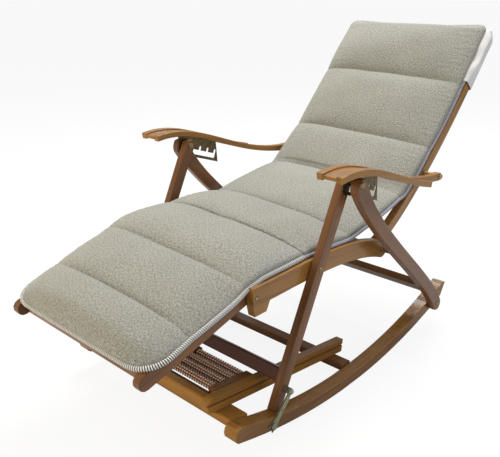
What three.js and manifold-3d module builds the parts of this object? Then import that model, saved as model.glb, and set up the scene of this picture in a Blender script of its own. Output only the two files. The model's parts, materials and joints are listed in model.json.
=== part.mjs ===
// Folding rocking chair with a reclining back, a leg rest and a foot roller frame.
// Millimetres, +Z up. The toes point to -Y, the back leans to +Y and +X is the sitter's left.
// The origin is on the floor, under the middle of the whole chair. The lengths along Y below are
// taken from the place where the rockers' arcs touch the floor, and the chair is moved at the end.
import * as THREE from 'three';
import { mergeVertices } from 'three/addons/utils/BufferGeometryUtils.js';
import Module from 'manifold-3d';

// Clearances and edges
const SEAT_GAP = 0.3;
const SIDE_GAP = 0.6;
const BORE_CLEARANCE = 0.6;
const EDGE_CHAMFER = 1.6;
const BAR_CHAMFER = 3;
const CUT_OVERRUN = 5;
const MERGE_DISTANCE = 0.0001;

// Rockers
const ROCKER_OUTER_X = 300;
const ROCKER_THICKNESS = 38;
const ROCKER_RADIUS = 1500;
const ROCKER_FLAT = 90;
const ROCKER_NOSE_Y = -432;
const ROCKER_TAIL_Y = 494;
const ROCKER_TAIL_OVERHANG = 24;
const ROCKER_DEPTH = 30;
const ROCKER_NOSE_DEPTH = 40;
const ROCKER_TAIL_DEPTH = 37;

// Pivots. The rocker's pivot and the stay's peg lie at a rise over the rocker's underside, and the
// armrest's pivot at a share of the back rail's curve.
const ROCKER_PIVOT_Y = 428;
const ROCKER_PIVOT_RISE = 24.318;
const TOP_PIVOT = { y: -48, z: 575 };
const SEAT_PIVOT = { y: -141, z: 380 };
const BACK_PIVOT = { y: 176, z: 329 };
const LEG_REST_PIVOT = { y: -342, z: 371 };
const PIN_RADIUS = 4;
const HEAD_RADIUS = 8;
const HEAD_THICKNESS = 3.5;
const HEAD_TIP_SHARE = 0.7;

// Front legs
const FRONT_LEG_INNER_X = 262;
const FRONT_LEG_THICKNESS = 22;
const FRONT_LEG_DEPTH = 29;
const FRONT_LEG_EYE_RADIUS = 17;
const FRONT_LEG_ANGLE = THREE.MathUtils.degToRad(64.4);
const STRETCHER_HEIGHT = 34;
const STRETCHER_DEPTH = 18;
const STRETCHER_DROP = 486;

// Rear legs
const REAR_LEG_INNER_X = 300.6;
const REAR_LEG_THICKNESS = 22;
const REAR_LEG_TOP = { y: -40, z: 562 };
const REAR_LEG_UPPER_BEND = { y: 52, z: 448 };
const REAR_LEG_LOWER_BEND = { y: 353, z: 190 };
const REAR_LEG_DEPTH = 36;
const REAR_LEG_TOP_DEPTH = 50;
const REAR_LEG_FOOT_DEPTH = 43;
const REAR_BAR_DROP_SHARE = 0.8;
const REAR_BAR_WIDTH = 44;
const REAR_BAR_THICKNESS = 20;
const REST_BAR_RADIUS = 8;
const REST_BAR_SETBACK = 14;
const REST_HEEL_LENGTH = 18;
const REST_HEEL_RISE = THREE.MathUtils.degToRad(15);

// Seat frame
const SEAT_RAIL_THICKNESS = 22;
const SEAT_RAIL_DEPTH = 48;
const SEAT_RAIL_FRONT = { y: -354, z: 373 };
const SEAT_RAIL_FRONT_BEND = { y: -180, z: 376 };
const SEAT_RAIL_REAR_BEND = { y: 30, z: 388 };
const SEAT_HOOK_LENGTH = 56;
const SEAT_HOOK_DROP = 22;
const SEAT_HOOK_SLANT = 6;
const STOP_BAR_WIDTH = 24;
const STOP_BAR_HEIGHT = 38;
const STOP_BAR_Z = 347;

// Leg rest
const LEG_REST_THICKNESS = 22;
const LEG_REST_DEPTH = 36;
const LEG_REST_LENGTH = 303;
const LEG_REST_TAIL = 17;
const LEG_REST_ANGLE = THREE.MathUtils.degToRad(15.3);
const LEG_REST_BAR_WIDTH = 26;
const LEG_REST_BAR_SETBACK = 18;

// Back frame
const BACK_TOP = { y: 766, z: 848 };
const BACK_LOWER_RUN_SHARE = 0.3288;
const BACK_LOWER_RISE_SHARE = 0.1561;
const BACK_UPPER_RUN_SHARE = 0.7186;
const BACK_UPPER_RISE_SHARE = 0.6185;
const ARM_PIVOT_SHARE = 0.3987;
const ARM_PIVOT_OFFSET = 1.34;
const BACK_RAIL_DEPTH = 32;
const SLAT_THICKNESS = 10;
const SLAT_WIDTH = 58;
const SEAT_SLAT_SHARES = [0.32, 0.68];
const BACK_SLAT_SHARES = [0.28, 0.62, 0.965];

// Armrests
const ARM_INNER_X = 271.4;
const ARM_WIDTH = 72.6;
const ARM_STRIP_WIDTH = 19;
const ARM_FRONT = { y: -158, z: 611 };
const ARM_FRONT_BEND = { y: 10, z: 638 };
const ARM_REAR_BEND = { y: 150, z: 502 };
const ARM_DEPTH = 16;
const ARM_EYE_RADIUS = 12;
const ARM_PANEL_DEPTH = 8;
const ARM_PANEL_SHARE = 0.34;
const ARM_OUTER_SHARE = 0.79;
const ARM_SPACER_SHARE = 0.73;
const ARM_COLLAR_RADIUS = 9;

// Notch plates under the armrests
const PLATE_X = 285.1;
const PLATE_THICKNESS = 2.4;
const PLATE_TILT = THREE.MathUtils.degToRad(-18.6);
const NOTCH_PITCH = 31.5;
const NOTCH_COUNT = 5;
const NOTCH_WIDTH = 9.4;
const TOOTH_DROP = 8.5;
const WINDOW_DROP = 22.5;
const PLATE_DROP = 31;
const PLATE_REAR_MARGIN = 22;
const PLATE_FRONT_MARGIN = 18;

// Stays that hold the front legs on the rockers
const STAY_TOP = { y: -268, z: 114 };
const STAY_FOOT_Y = -329;
const STAY_FOOT_RISE = 14.15;
const STAY_THICKNESS = 2.5;
const STAY_WIDTH = 14;
const STAY_FOOT_WIDTH = 24;
const STAY_NECK_LENGTH = 34;
const STAY_SLOT_WIDTH = 11;
const STAY_MOUTH_FLARE = 3;
const STAY_MOUTH_ANGLE = THREE.MathUtils.degToRad(212);

// Cross planks of the rockers and the foot roller frame on them
const FRAME_TILT = -Math.atan(0.137);
const FRAME_FRONT = { y: -455, z: 104 };
const FRAME_LENGTH = 532;
const FRAME_RAIL_HEIGHT = 38;
const FRAME_RAIL_WIDTH = 25;
const FRAME_RAIL_OUTER_X = 215;
const FRAME_RAIL_GROOVE = 5;
const FRAME_RAIL_GROOVE_RISE = 22;
const FRAME_BAR_DEPTH = 26;
const FRAME_BAR_HEIGHT = 30;
const PLANK_THICKNESS = 20;
const FRONT_PLANK_WIDTH = 56;
const FRONT_PLANK_SETBACK = 26;
const MIDDLE_PLANK_WIDTH = 42;
const MIDDLE_PLANK_REAR_SETBACK = 68;
const ROLLER_COUNT = 4;
const ROLLER_PITCH = 32;
const ROLLER_FIRST_SETBACK = 62;
const ROLLER_AXIS_RISE = 30;
const ROLLER_RADIUS = 11;
const ROLLER_GROOVE_DEPTH = 3;
const ROLLER_RIBS = 6;
const ROLLER_CORE_RADIUS = 5;
const ROLLER_BAR_THICKNESS = 20;
const ROLLER_BAR_RISE = 8;
const ROLLER_BAR_HEIGHT = 30;
const ROLLER_BAR_MARGIN = 18;
const ROLLER_END_PLAY = 4;

// Cushion
const PAD_WIDTH = 490;
const PAD_THICKNESS = 48;
const PAD_EDGE_SHARE = 0.66;
const PAD_CHANNEL_SHARE = 0.62;
const PAD_CORNER_RADIUS = 46;
const PAD_END_ROUND = 22;
const PAD_LIFT = 0.6;
const PAD_LEG_FRONT_REACH = 11;
const PAD_LEG_REAR_GAP = 26;
const PAD_SEAT_FRONT_GAP = 12;
const PAD_SEAT_REAR_GAP = 23.26;
const PAD_BACK_START = 54;
const PAD_BACK_OVERHANG = 28;
const PAD_PANELS = { leg: 2, seat: 3, back: 4 };
const PAD_RING_POINTS = 24;
const PAD_STATIONS_PER_PANEL = 6;

// Facets
const ROUND_SEGMENTS = 6;
const CAP_SEGMENTS = 6;
const CURVE_STEPS = 20;
const LATHE_SIDES = 12;

const wasm = await Module();
wasm.setup();

const finish = (color, roughness, metalness = 0) =>
  new THREE.MeshStandardMaterial({ color, roughness, metalness });
const materials = {
  frame: () => finish(0x8a5c34, 0.45),
  dark: () => finish(0x5f3a28, 0.5),
  gold: () => finish(0xa9753a, 0.42),
  zinc: () => finish(0x8b8a6e, 0.4, 0.85),
  brass: () => finish(0xb08d4a, 0.35, 0.9),
  fabric: () => finish(0xa8a79d, 0.95),
};

const chair = new THREE.Group();

// Side profiles are drawn with u along +Y and v along +Z, and are extruded along +X.
const SIDE_BASIS = new THREE.Quaternion().setFromRotationMatrix(
  new THREE.Matrix4().makeBasis(
    new THREE.Vector3(0, 1, 0),
    new THREE.Vector3(0, 0, 1),
    new THREE.Vector3(1, 0, 0),
  ),
);

const point = (place) => new THREE.Vector2(place.y, place.z);
const along = (angle, length) => new THREE.Vector2(Math.cos(angle) * length, Math.sin(angle) * length);
const bezier = (...places) => new THREE.CubicBezierCurve(...places.map(point));

function addMesh(parent, name, geometry, material, position, quaternion) {
  const mesh = new THREE.Mesh(geometry, material);
  mesh.name = name;
  mesh.position.copy(position);
  mesh.quaternion.copy(quaternion);
  parent.add(mesh);
  return mesh;
}

// A slab has the outline of a shape, and its long edges are chamfered.
function slab(shape, thickness, chamfer = 0) {
  const geometry = new THREE.ExtrudeGeometry(shape, {
    depth: thickness - 2 * chamfer,
    curveSegments: ROUND_SEGMENTS,
    steps: 1,
    bevelEnabled: chamfer > 0,
    bevelSegments: 1,
    bevelThickness: chamfer,
    bevelSize: chamfer,
    bevelOffset: -chamfer,
  });
  geometry.translate(0, 0, chamfer);
  return geometry;
}

// A piece of the left side, with its copy on the right side
function addPair(name, geometry, thickness, innerX, makeMaterial) {
  const rightX = -innerX - thickness;
  addMesh(chair, `${name}_left`, geometry, makeMaterial(), new THREE.Vector3(innerX, 0, 0), SIDE_BASIS);
  addMesh(chair, `${name}_right`, geometry, makeMaterial(), new THREE.Vector3(rightX, 0, 0), SIDE_BASIS);
}

// A piece that spans the chair between two inner faces
function addSpan(parent, name, shape, reachX, material, chamfer = 0) {
  const geometry = slab(shape, 2 * reachX, chamfer);
  addMesh(parent, name, geometry, material, new THREE.Vector3(-reachX, 0, 0), SIDE_BASIS);
}

function arc(centre, radius, start, sweep, segments) {
  const points = [];
  for (let i = 1; i < segments; i += 1) {
    points.push(centre.clone().add(along(start + (sweep * i) / segments, radius)));
  }
  return points;
}

// The outline of a strip of changing depth along a curve, with round or square ends
function stripOutline(curve, depthAt, options) {
  const { from = 0, to = 1, roundStart = false, roundEnd = false, steps = CURVE_STEPS } = options;
  const under = [];
  const over = [];
  for (let i = 0; i <= steps; i += 1) {
    const share = from + ((to - from) * i) / steps;
    const tangent = curve.getTangent(share);
    const normal = new THREE.Vector2(-tangent.y, tangent.x).multiplyScalar(depthAt(share) / 2);
    const centre = curve.getPoint(share);
    under.push(centre.clone().sub(normal));
    over.push(centre.clone().add(normal));
  }
  const startAngle = curve.getTangent(from).angle();
  const endAngle = curve.getTangent(to).angle();
  const endCap = roundEnd
    ? arc(curve.getPoint(to), depthAt(to) / 2, endAngle - Math.PI / 2, Math.PI, CAP_SEGMENTS)
    : [];
  const startCap = roundStart
    ? arc(curve.getPoint(from), depthAt(from) / 2, startAngle + Math.PI / 2, Math.PI, CAP_SEGMENTS)
    : [];
  return [...under, ...endCap, ...over.reverse(), ...startCap];
}

function boredShape(outline, bores = []) {
  const shape = new THREE.Shape(outline);
  bores.forEach((bore) => {
    const hole = new THREE.Path();
    hole.absarc(bore.y, bore.z, PIN_RADIUS + BORE_CLEARANCE, 0, 2 * Math.PI, true);
    shape.holes.push(hole);
  });
  return shape;
}

// A bar's section: a rectangle with chamfered corners, turned by an angle about its centre
function barShape(centre, angle, width, height, corner = BAR_CHAMFER) {
  const [halfWidth, halfHeight] = [width / 2, height / 2];
  const corners = [
    [-halfWidth + corner, -halfHeight],
    [halfWidth - corner, -halfHeight],
    [halfWidth, -halfHeight + corner],
    [halfWidth, halfHeight - corner],
    [halfWidth - corner, halfHeight],
    [-halfWidth + corner, halfHeight],
    [-halfWidth, halfHeight - corner],
    [-halfWidth, -halfHeight + corner],
  ];
  const turned = corners.map(([u, v]) => new THREE.Vector2(u, v).rotateAround(new THREE.Vector2(), angle));
  return new THREE.Shape(turned.map((corner2d) => corner2d.add(centre)));
}

// A turned piece along X: its profile lists how far along the axis each radius lies
function turned(profile, sides = LATHE_SIDES) {
  return new THREE.LatheGeometry(profile.map(([place, radius]) => new THREE.Vector2(radius, place)), sides);
}

function addTurned(parent, name, geometry, place, side, material) {
  const turn = new THREE.Quaternion().setFromAxisAngle(new THREE.Vector3(0, 0, 1), (-side * Math.PI) / 2);
  addMesh(parent, name, geometry, material, new THREE.Vector3(0, place.y, place.z), turn);
}

function addTurnedPair(name, profile, place, makeMaterial) {
  const geometry = turned(profile);
  addTurned(chair, `${name}_left`, geometry, place, 1, makeMaterial());
  addTurned(chair, `${name}_right`, geometry, place, -1, makeMaterial());
}

// A headed pin from inside a face to a far end
function headedPin(headX, farX, radius = PIN_RADIUS) {
  return [
    [headX - HEAD_THICKNESS, 0],
    [headX - HEAD_THICKNESS, HEAD_RADIUS * HEAD_TIP_SHARE],
    [headX - HEAD_THICKNESS / 2, HEAD_RADIUS],
    [headX, HEAD_RADIUS],
    [headX, radius],
    [farX, radius],
    [farX, 0],
  ];
}

function solid(geometry) {
  const bare = geometry.clone();
  bare.deleteAttribute('normal');
  bare.deleteAttribute('uv');
  const merged = mergeVertices(bare, MERGE_DISTANCE);
  return new wasm.Manifold(
    new wasm.Mesh({
      numProp: 3,
      vertProperties: new Float32Array(merged.attributes.position.array),
      triVerts: new Uint32Array(merged.index.array),
    }),
  );
}

function geometryOf(manifold) {
  const mesh = manifold.getMesh();
  const geometry = new THREE.BufferGeometry();
  geometry.setAttribute('position', new THREE.BufferAttribute(new Float32Array(mesh.vertProperties), 3));
  geometry.setIndex(new THREE.BufferAttribute(new Uint32Array(mesh.triVerts), 1));
  geometry.computeVertexNormals();
  return geometry;
}

// Rockers: a long arc with a short flat where it stands, a round nose and a cut tail
const arcHeight = (y) => ROCKER_RADIUS - Math.sqrt(ROCKER_RADIUS ** 2 - y ** 2);
const rockerUnder = (y) => Math.max(0, arcHeight(y) - arcHeight(ROCKER_FLAT / 2));
function rockerDepth(y) {
  const nose = y < 0;
  const share = nose ? y / ROCKER_NOSE_Y : y / ROCKER_TAIL_Y;
  return ROCKER_DEPTH + ((nose ? ROCKER_NOSE_DEPTH : ROCKER_TAIL_DEPTH) - ROCKER_DEPTH) * share ** 2;
}
const rockerTop = (y) => rockerUnder(y) + rockerDepth(y) / Math.cos(Math.asin(y / ROCKER_RADIUS));
const inRocker = (y, rise) => ({ y, z: rockerUnder(y) + rise });
const rockerPivot = inRocker(ROCKER_PIVOT_Y, ROCKER_PIVOT_RISE);
const stayFoot = inRocker(STAY_FOOT_Y, STAY_FOOT_RISE);

function rockerShape() {
  const under = [];
  const over = [];
  const half = CURVE_STEPS / 2;
  for (let i = 0; i <= half; i += 1) {
    const y = ROCKER_NOSE_Y + ((-ROCKER_FLAT / 2 - ROCKER_NOSE_Y) * i) / half;
    under.push(new THREE.Vector2(y, rockerUnder(y)));
    over.push(new THREE.Vector2(y, rockerTop(y)));
  }
  for (let i = 0; i <= half; i += 1) {
    const y = ROCKER_FLAT / 2 + ((ROCKER_TAIL_Y - ROCKER_FLAT / 2) * i) / half;
    under.push(new THREE.Vector2(y, rockerUnder(y)));
    over.push(new THREE.Vector2(y, rockerTop(y)));
  }
  const tailMiddle = ROCKER_TAIL_Y + ROCKER_TAIL_OVERHANG / 2;
  const tail = [
    new THREE.Vector2(ROCKER_TAIL_Y + ROCKER_TAIL_OVERHANG, rockerTop(ROCKER_TAIL_Y)),
    new THREE.Vector2(tailMiddle, rockerTop(tailMiddle)),
  ];
  const noseCentre = under[0].clone().add(over[0]).divideScalar(2);
  const noseAngle = over[0].clone().sub(under[0]).angle();
  const nose = arc(noseCentre, under[0].distanceTo(over[0]) / 2, noseAngle, Math.PI, CAP_SEGMENTS);
  return [...under, ...tail, ...over.reverse(), ...nose];
}

function addRockers() {
  const geometry = slab(boredShape(rockerShape(), [rockerPivot, stayFoot]), ROCKER_THICKNESS, EDGE_CHAMFER);
  const innerX = ROCKER_OUTER_X - ROCKER_THICKNESS;
  addPair('rocker', geometry, ROCKER_THICKNESS, innerX, materials.frame);
  const pivot = headedPin(innerX - SEAT_GAP, REAR_LEG_INNER_X + REAR_LEG_THICKNESS + SIDE_GAP);
  addTurnedPair('rocker_bolt', pivot, rockerPivot, materials.brass);
  const pegEnd = ROCKER_OUTER_X + STAY_THICKNESS + 2 * SIDE_GAP;
  const peg = [
    [innerX + CUT_OVERRUN, 0],
    [innerX + CUT_OVERRUN, PIN_RADIUS],
    [pegEnd, PIN_RADIUS],
    [pegEnd, HEAD_RADIUS],
    [pegEnd + HEAD_THICKNESS, HEAD_RADIUS * HEAD_TIP_SHARE],
    [pegEnd + HEAD_THICKNESS, 0],
  ];
  addTurnedPair('stay_peg', peg, stayFoot, materials.zinc);
}

// Planks between the rockers, and the roller frame that lies on them
const frameDirection = along(FRAME_TILT, 1);
const frameUp = along(FRAME_TILT + Math.PI / 2, 1);
const framePoint = (setback, rise) =>
  point(FRAME_FRONT)
    .add(frameDirection.clone().multiplyScalar(setback))
    .add(frameUp.clone().multiplyScalar(rise));

function addPlanks() {
  const reachX = ROCKER_OUTER_X - ROCKER_THICKNESS - SEAT_GAP;
  const rise = -PLANK_THICKNESS / 2 - SEAT_GAP;
  const places = [
    ['rocker_front_plank', FRONT_PLANK_SETBACK, FRONT_PLANK_WIDTH],
    ['rocker_middle_plank', FRAME_LENGTH - MIDDLE_PLANK_REAR_SETBACK, MIDDLE_PLANK_WIDTH],
  ];
  places.forEach(([name, setback, width]) => {
    const centre = framePoint(setback + width / 2, rise);
    addSpan(chair, name, barShape(centre, FRAME_TILT, width, PLANK_THICKNESS), reachX, materials.frame());
  });
}

// A rail is its rounded side outline cut by its grooved cross-section.
function frameRail() {
  const radius = FRAME_RAIL_HEIGHT / 2;
  const outline = new THREE.Shape();
  outline.moveTo(FRAME_LENGTH, 0);
  outline.lineTo(FRAME_LENGTH, FRAME_RAIL_HEIGHT);
  outline.lineTo(radius, FRAME_RAIL_HEIGHT);
  outline.absarc(radius, radius, radius, Math.PI / 2, Math.PI * 1.5, false);
  outline.lineTo(FRAME_LENGTH, 0);
  const body = solid(slab(outline, FRAME_RAIL_WIDTH, EDGE_CHAMFER));
  const groove = new THREE.BoxGeometry(FRAME_LENGTH * 2, FRAME_RAIL_GROOVE, FRAME_RAIL_GROOVE * 2);
  groove.translate(FRAME_LENGTH, FRAME_RAIL_GROOVE_RISE, FRAME_RAIL_WIDTH);
  return geometryOf(body.subtract(solid(groove)));
}

function addRollerFrame() {
  const frame = new THREE.Group();
  frame.quaternion.setFromAxisAngle(new THREE.Vector3(1, 0, 0), FRAME_TILT);
  frame.position.set(0, FRAME_FRONT.y, FRAME_FRONT.z);
  chair.add(frame);
  const railInnerX = FRAME_RAIL_OUTER_X - FRAME_RAIL_WIDTH;
  const rail = frameRail();
  const mirroredRail = geometryOf(solid(rail).mirror([0, 0, 1]));
  const rails = [
    ['foot_rail_left', rail, railInnerX],
    ['foot_rail_right', mirroredRail, -railInnerX],
  ];
  rails.forEach(([name, geometry, x]) => {
    addMesh(frame, name, geometry, materials.gold(), new THREE.Vector3(x, 0, 0), SIDE_BASIS);
  });

  const barCentre = new THREE.Vector2(FRAME_BAR_DEPTH / 2 + FRAME_RAIL_HEIGHT / 4, FRAME_BAR_HEIGHT / 2);
  const frontBar = barShape(barCentre, 0, FRAME_BAR_DEPTH, FRAME_BAR_HEIGHT);
  addSpan(frame, 'foot_frame_front_bar', frontBar, railInnerX - SEAT_GAP, materials.gold());

  const firstU = ROLLER_FIRST_SETBACK;
  const lastU = firstU + (ROLLER_COUNT - 1) * ROLLER_PITCH;
  const barLength = lastU - firstU + 2 * ROLLER_BAR_MARGIN;
  const bearing = barShape(
    new THREE.Vector2((firstU + lastU) / 2, ROLLER_BAR_RISE + ROLLER_BAR_HEIGHT / 2),
    0,
    barLength,
    ROLLER_BAR_HEIGHT,
  );
  for (let i = 0; i < ROLLER_COUNT; i += 1) {
    const hole = new THREE.Path();
    const holeRadius = ROLLER_CORE_RADIUS + BORE_CLEARANCE;
    hole.absarc(firstU + i * ROLLER_PITCH, ROLLER_AXIS_RISE, holeRadius, 0, 2 * Math.PI, true);
    bearing.holes.push(hole);
  }
  const bearingSlab = slab(bearing, ROLLER_BAR_THICKNESS);
  const bearingX = railInnerX - SEAT_GAP - ROLLER_BAR_THICKNESS;
  const bearings = [
    ['roller_bar_left', bearingX],
    ['roller_bar_middle', -ROLLER_BAR_THICKNESS / 2],
    ['roller_bar_right', -bearingX - ROLLER_BAR_THICKNESS],
  ];
  bearings.forEach(([name, x]) => {
    addMesh(frame, name, bearingSlab, materials.dark(), new THREE.Vector3(x, 0, 0), SIDE_BASIS);
  });

  const roller = turned(rollerProfile(bearingX), LATHE_SIDES);
  for (let i = 0; i < ROLLER_COUNT; i += 1) {
    const place = { y: firstU + i * ROLLER_PITCH, z: ROLLER_AXIS_RISE };
    addTurned(frame, `foot_roller_${i + 1}`, roller, place, 1, materials.dark());
  }
}

// One spindle carries a ribbed roller for each foot.
function rollerProfile(bearingX) {
  const start = ROLLER_BAR_THICKNESS / 2 + ROLLER_END_PLAY;
  const ribLength = (bearingX - ROLLER_END_PLAY - start) / ROLLER_RIBS;
  const endX = bearingX + ROLLER_BAR_THICKNESS - ROLLER_END_PLAY;
  const half = [];
  half.push([start, ROLLER_CORE_RADIUS]);
  for (let i = 0; i < ROLLER_RIBS; i += 1) {
    const ribX = start + i * ribLength;
    half.push([ribX, ROLLER_RADIUS - ROLLER_GROOVE_DEPTH]);
    half.push([ribX + ribLength / 2, ROLLER_RADIUS]);
  }
  half.push([bearingX - ROLLER_END_PLAY, ROLLER_RADIUS - ROLLER_GROOVE_DEPTH]);
  half.push([bearingX - ROLLER_END_PLAY, ROLLER_CORE_RADIUS]);
  half.push([endX, ROLLER_CORE_RADIUS]);
  half.push([endX, 0]);
  const mirrored = half.map(([x, radius]) => [-x, radius]).reverse();
  return [...mirrored, ...half];
}

// The seat rails' rear ends carry a flat heel. It lies along the circle that the rear legs' bar
// follows about the top pivot when the chair folds, so the bar slides out from under it.
const restOutward = point(BACK_PIVOT).sub(point(TOP_PIVOT)).normalize();
const restAlong = new THREE.Vector2(-restOutward.y, restOutward.x);
const restHeel = point(BACK_PIVOT).add(restOutward.clone().multiplyScalar(SEAT_RAIL_DEPTH / 2));

// Rear legs: S-shaped, pinned to the rocker tails and to the tops of the front legs
const rearLegCurve = bezier(REAR_LEG_TOP, REAR_LEG_UPPER_BEND, REAR_LEG_LOWER_BEND, rockerPivot);
const rearLegDepth = (share) =>
  REAR_LEG_DEPTH +
  (REAR_LEG_TOP_DEPTH - REAR_LEG_DEPTH) * (1 - share) ** 8 +
  (REAR_LEG_FOOT_DEPTH - REAR_LEG_DEPTH) * share ** 4;

function addRearLegs() {
  const outline = stripOutline(rearLegCurve, rearLegDepth, { roundStart: true, roundEnd: true });
  const geometry = slab(boredShape(outline, [TOP_PIVOT, rockerPivot]), REAR_LEG_THICKNESS, EDGE_CHAMFER);
  addPair('rear_leg', geometry, REAR_LEG_THICKNESS, REAR_LEG_INNER_X, materials.frame);
  const reachX = REAR_LEG_INNER_X - SEAT_GAP;
  const centre = rearLegCurve.getPoint(REAR_BAR_DROP_SHARE);
  const angle = rearLegCurve.getTangent(REAR_BAR_DROP_SHARE).angle();
  const bar = barShape(centre, angle, REAR_BAR_WIDTH, REAR_BAR_THICKNESS);
  addSpan(chair, 'rear_leg_crossbar', bar, reachX, materials.frame());
  const restProfile = [
    [-reachX, 0],
    [-reachX, REST_BAR_RADIUS],
    [reachX, REST_BAR_RADIUS],
    [reachX, 0],
  ];
  const rest = restHeel
    .clone()
    .add(restAlong.clone().multiplyScalar(REST_BAR_SETBACK))
    .add(restOutward.clone().multiplyScalar(REST_BAR_RADIUS + SEAT_GAP));
  addTurned(chair, 'seat_rest_bar', turned(restProfile), { y: rest.x, z: rest.y }, 1, materials.frame());
  const outerX = REAR_LEG_INNER_X + REAR_LEG_THICKNESS;
  const clearOfPlate = PLATE_X + PLATE_THICKNESS + SIDE_GAP;
  const outerPin = [
    [clearOfPlate, 0],
    [clearOfPlate, PIN_RADIUS],
    [outerX + SEAT_GAP, PIN_RADIUS],
    [outerX + SEAT_GAP, HEAD_RADIUS],
    [outerX + SEAT_GAP + HEAD_THICKNESS, HEAD_RADIUS * HEAD_TIP_SHARE],
    [outerX + SEAT_GAP + HEAD_THICKNESS, 0],
  ];
  addTurnedPair('top_pin', outerPin, TOP_PIVOT, materials.brass);
}

// Front legs: straight, standing on the rockers
const frontLegDown = along(FRONT_LEG_ANGLE + Math.PI, 1);
function frontLegFoot(offset) {
  const side = along(FRONT_LEG_ANGLE + Math.PI / 2, offset);
  let reach = 0;
  for (let i = 0; i < CURVE_STEPS; i += 1) {
    const place = point(TOP_PIVOT).add(side).add(frontLegDown.clone().multiplyScalar(reach));
    reach += (place.y - rockerTop(place.x) - SEAT_GAP) / Math.sin(FRONT_LEG_ANGLE);
  }
  return point(TOP_PIVOT).add(side).add(frontLegDown.clone().multiplyScalar(reach));
}

function addFrontLegs() {
  const half = FRONT_LEG_DEPTH / 2;
  const shoulder = Math.sqrt(FRONT_LEG_EYE_RADIUS ** 2 - half ** 2);
  const spread = Math.atan2(half, -shoulder);
  const eye = point(TOP_PIVOT);
  const outline = [
    frontLegFoot(half),
    frontLegFoot(-half),
    ...arc(eye, FRONT_LEG_EYE_RADIUS, FRONT_LEG_ANGLE - spread, 2 * spread, 2 * CAP_SEGMENTS),
  ];
  const shape = boredShape(outline, [TOP_PIVOT, SEAT_PIVOT, STAY_TOP]);
  const geometry = slab(shape, FRONT_LEG_THICKNESS, EDGE_CHAMFER);
  addPair('front_leg', geometry, FRONT_LEG_THICKNESS, FRONT_LEG_INNER_X, materials.frame);
  const outerX = FRONT_LEG_INNER_X + FRONT_LEG_THICKNESS;
  const pin = headedPin(FRONT_LEG_INNER_X - SEAT_GAP, outerX + SEAT_GAP);
  addTurnedPair('top_pin_inner', pin, TOP_PIVOT, materials.brass);
  const centre = point(TOP_PIVOT).add(frontLegDown.clone().multiplyScalar(STRETCHER_DROP));
  const stretcher = barShape(centre, FRONT_LEG_ANGLE, STRETCHER_HEIGHT, STRETCHER_DEPTH);
  addSpan(chair, 'front_leg_stretcher', stretcher, FRONT_LEG_INNER_X - SEAT_GAP, materials.dark());
}

// Stays: a strap bolted to each front leg, whose forked foot sits over a peg on the rocker.
// The fork's mouth points the way the peg leaves it when the front legs swing up.
function addStays() {
  const top = point(STAY_TOP);
  const foot = point(stayFoot);
  const axis = foot.clone().sub(top).angle();
  const at = (base, angle, forward, sideways) =>
    base.clone().add(along(angle, forward)).add(along(angle + Math.PI / 2, sideways));
  const slot = STAY_SLOT_WIDTH / 2;
  const footHalf = STAY_FOOT_WIDTH / 2;
  const neck = (sideways) => at(foot, axis, -STAY_NECK_LENGTH, sideways);
  const fork = (forward, sideways) => at(foot, STAY_MOUTH_ANGLE, forward, sideways);
  const outline = [
    at(top, axis, 0, -STAY_WIDTH / 2),
    neck(-STAY_WIDTH / 2),
    fork(-slot, -footHalf),
    fork(footHalf, -footHalf),
    fork(footHalf, -slot - STAY_MOUTH_FLARE),
    fork(0, -slot),
    ...arc(foot, slot, STAY_MOUTH_ANGLE - Math.PI / 2, -Math.PI, CAP_SEGMENTS),
    fork(0, slot),
    fork(footHalf, slot + STAY_MOUTH_FLARE),
    fork(footHalf, footHalf),
    fork(-slot, footHalf),
    neck(STAY_WIDTH / 2),
    at(top, axis, 0, STAY_WIDTH / 2),
    ...arc(top, STAY_WIDTH / 2, axis + Math.PI / 2, Math.PI, CAP_SEGMENTS),
  ];
  const stayX = ROCKER_OUTER_X + SIDE_GAP;
  const geometry = slab(boredShape(outline, [STAY_TOP]), STAY_THICKNESS);
  addPair('stay', geometry, STAY_THICKNESS, stayX, materials.zinc);
  const outerX = stayX + STAY_THICKNESS + SEAT_GAP;
  const collarX = FRONT_LEG_INNER_X + FRONT_LEG_THICKNESS + SEAT_GAP;
  const bolt = [
    [FRONT_LEG_INNER_X + CUT_OVERRUN, 0],
    [FRONT_LEG_INNER_X + CUT_OVERRUN, PIN_RADIUS],
    [collarX, PIN_RADIUS],
    [collarX, HEAD_RADIUS],
    [stayX - SEAT_GAP, HEAD_RADIUS],
    [stayX - SEAT_GAP, PIN_RADIUS],
    [outerX, PIN_RADIUS],
    [outerX, HEAD_RADIUS],
    [outerX + HEAD_THICKNESS, HEAD_RADIUS * HEAD_TIP_SHARE],
    [outerX + HEAD_THICKNESS, 0],
  ];
  addTurnedPair('stay_bolt', bolt, STAY_TOP, materials.zinc);
}

// Seat frame: two arched rails bolted to the front legs and resting on the rear legs' bar
const seatRailX = FRONT_LEG_INNER_X - SIDE_GAP - SEAT_RAIL_THICKNESS;
const seatRailCurve = bezier(SEAT_RAIL_FRONT, SEAT_RAIL_FRONT_BEND, SEAT_RAIL_REAR_BEND, BACK_PIVOT);

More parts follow.
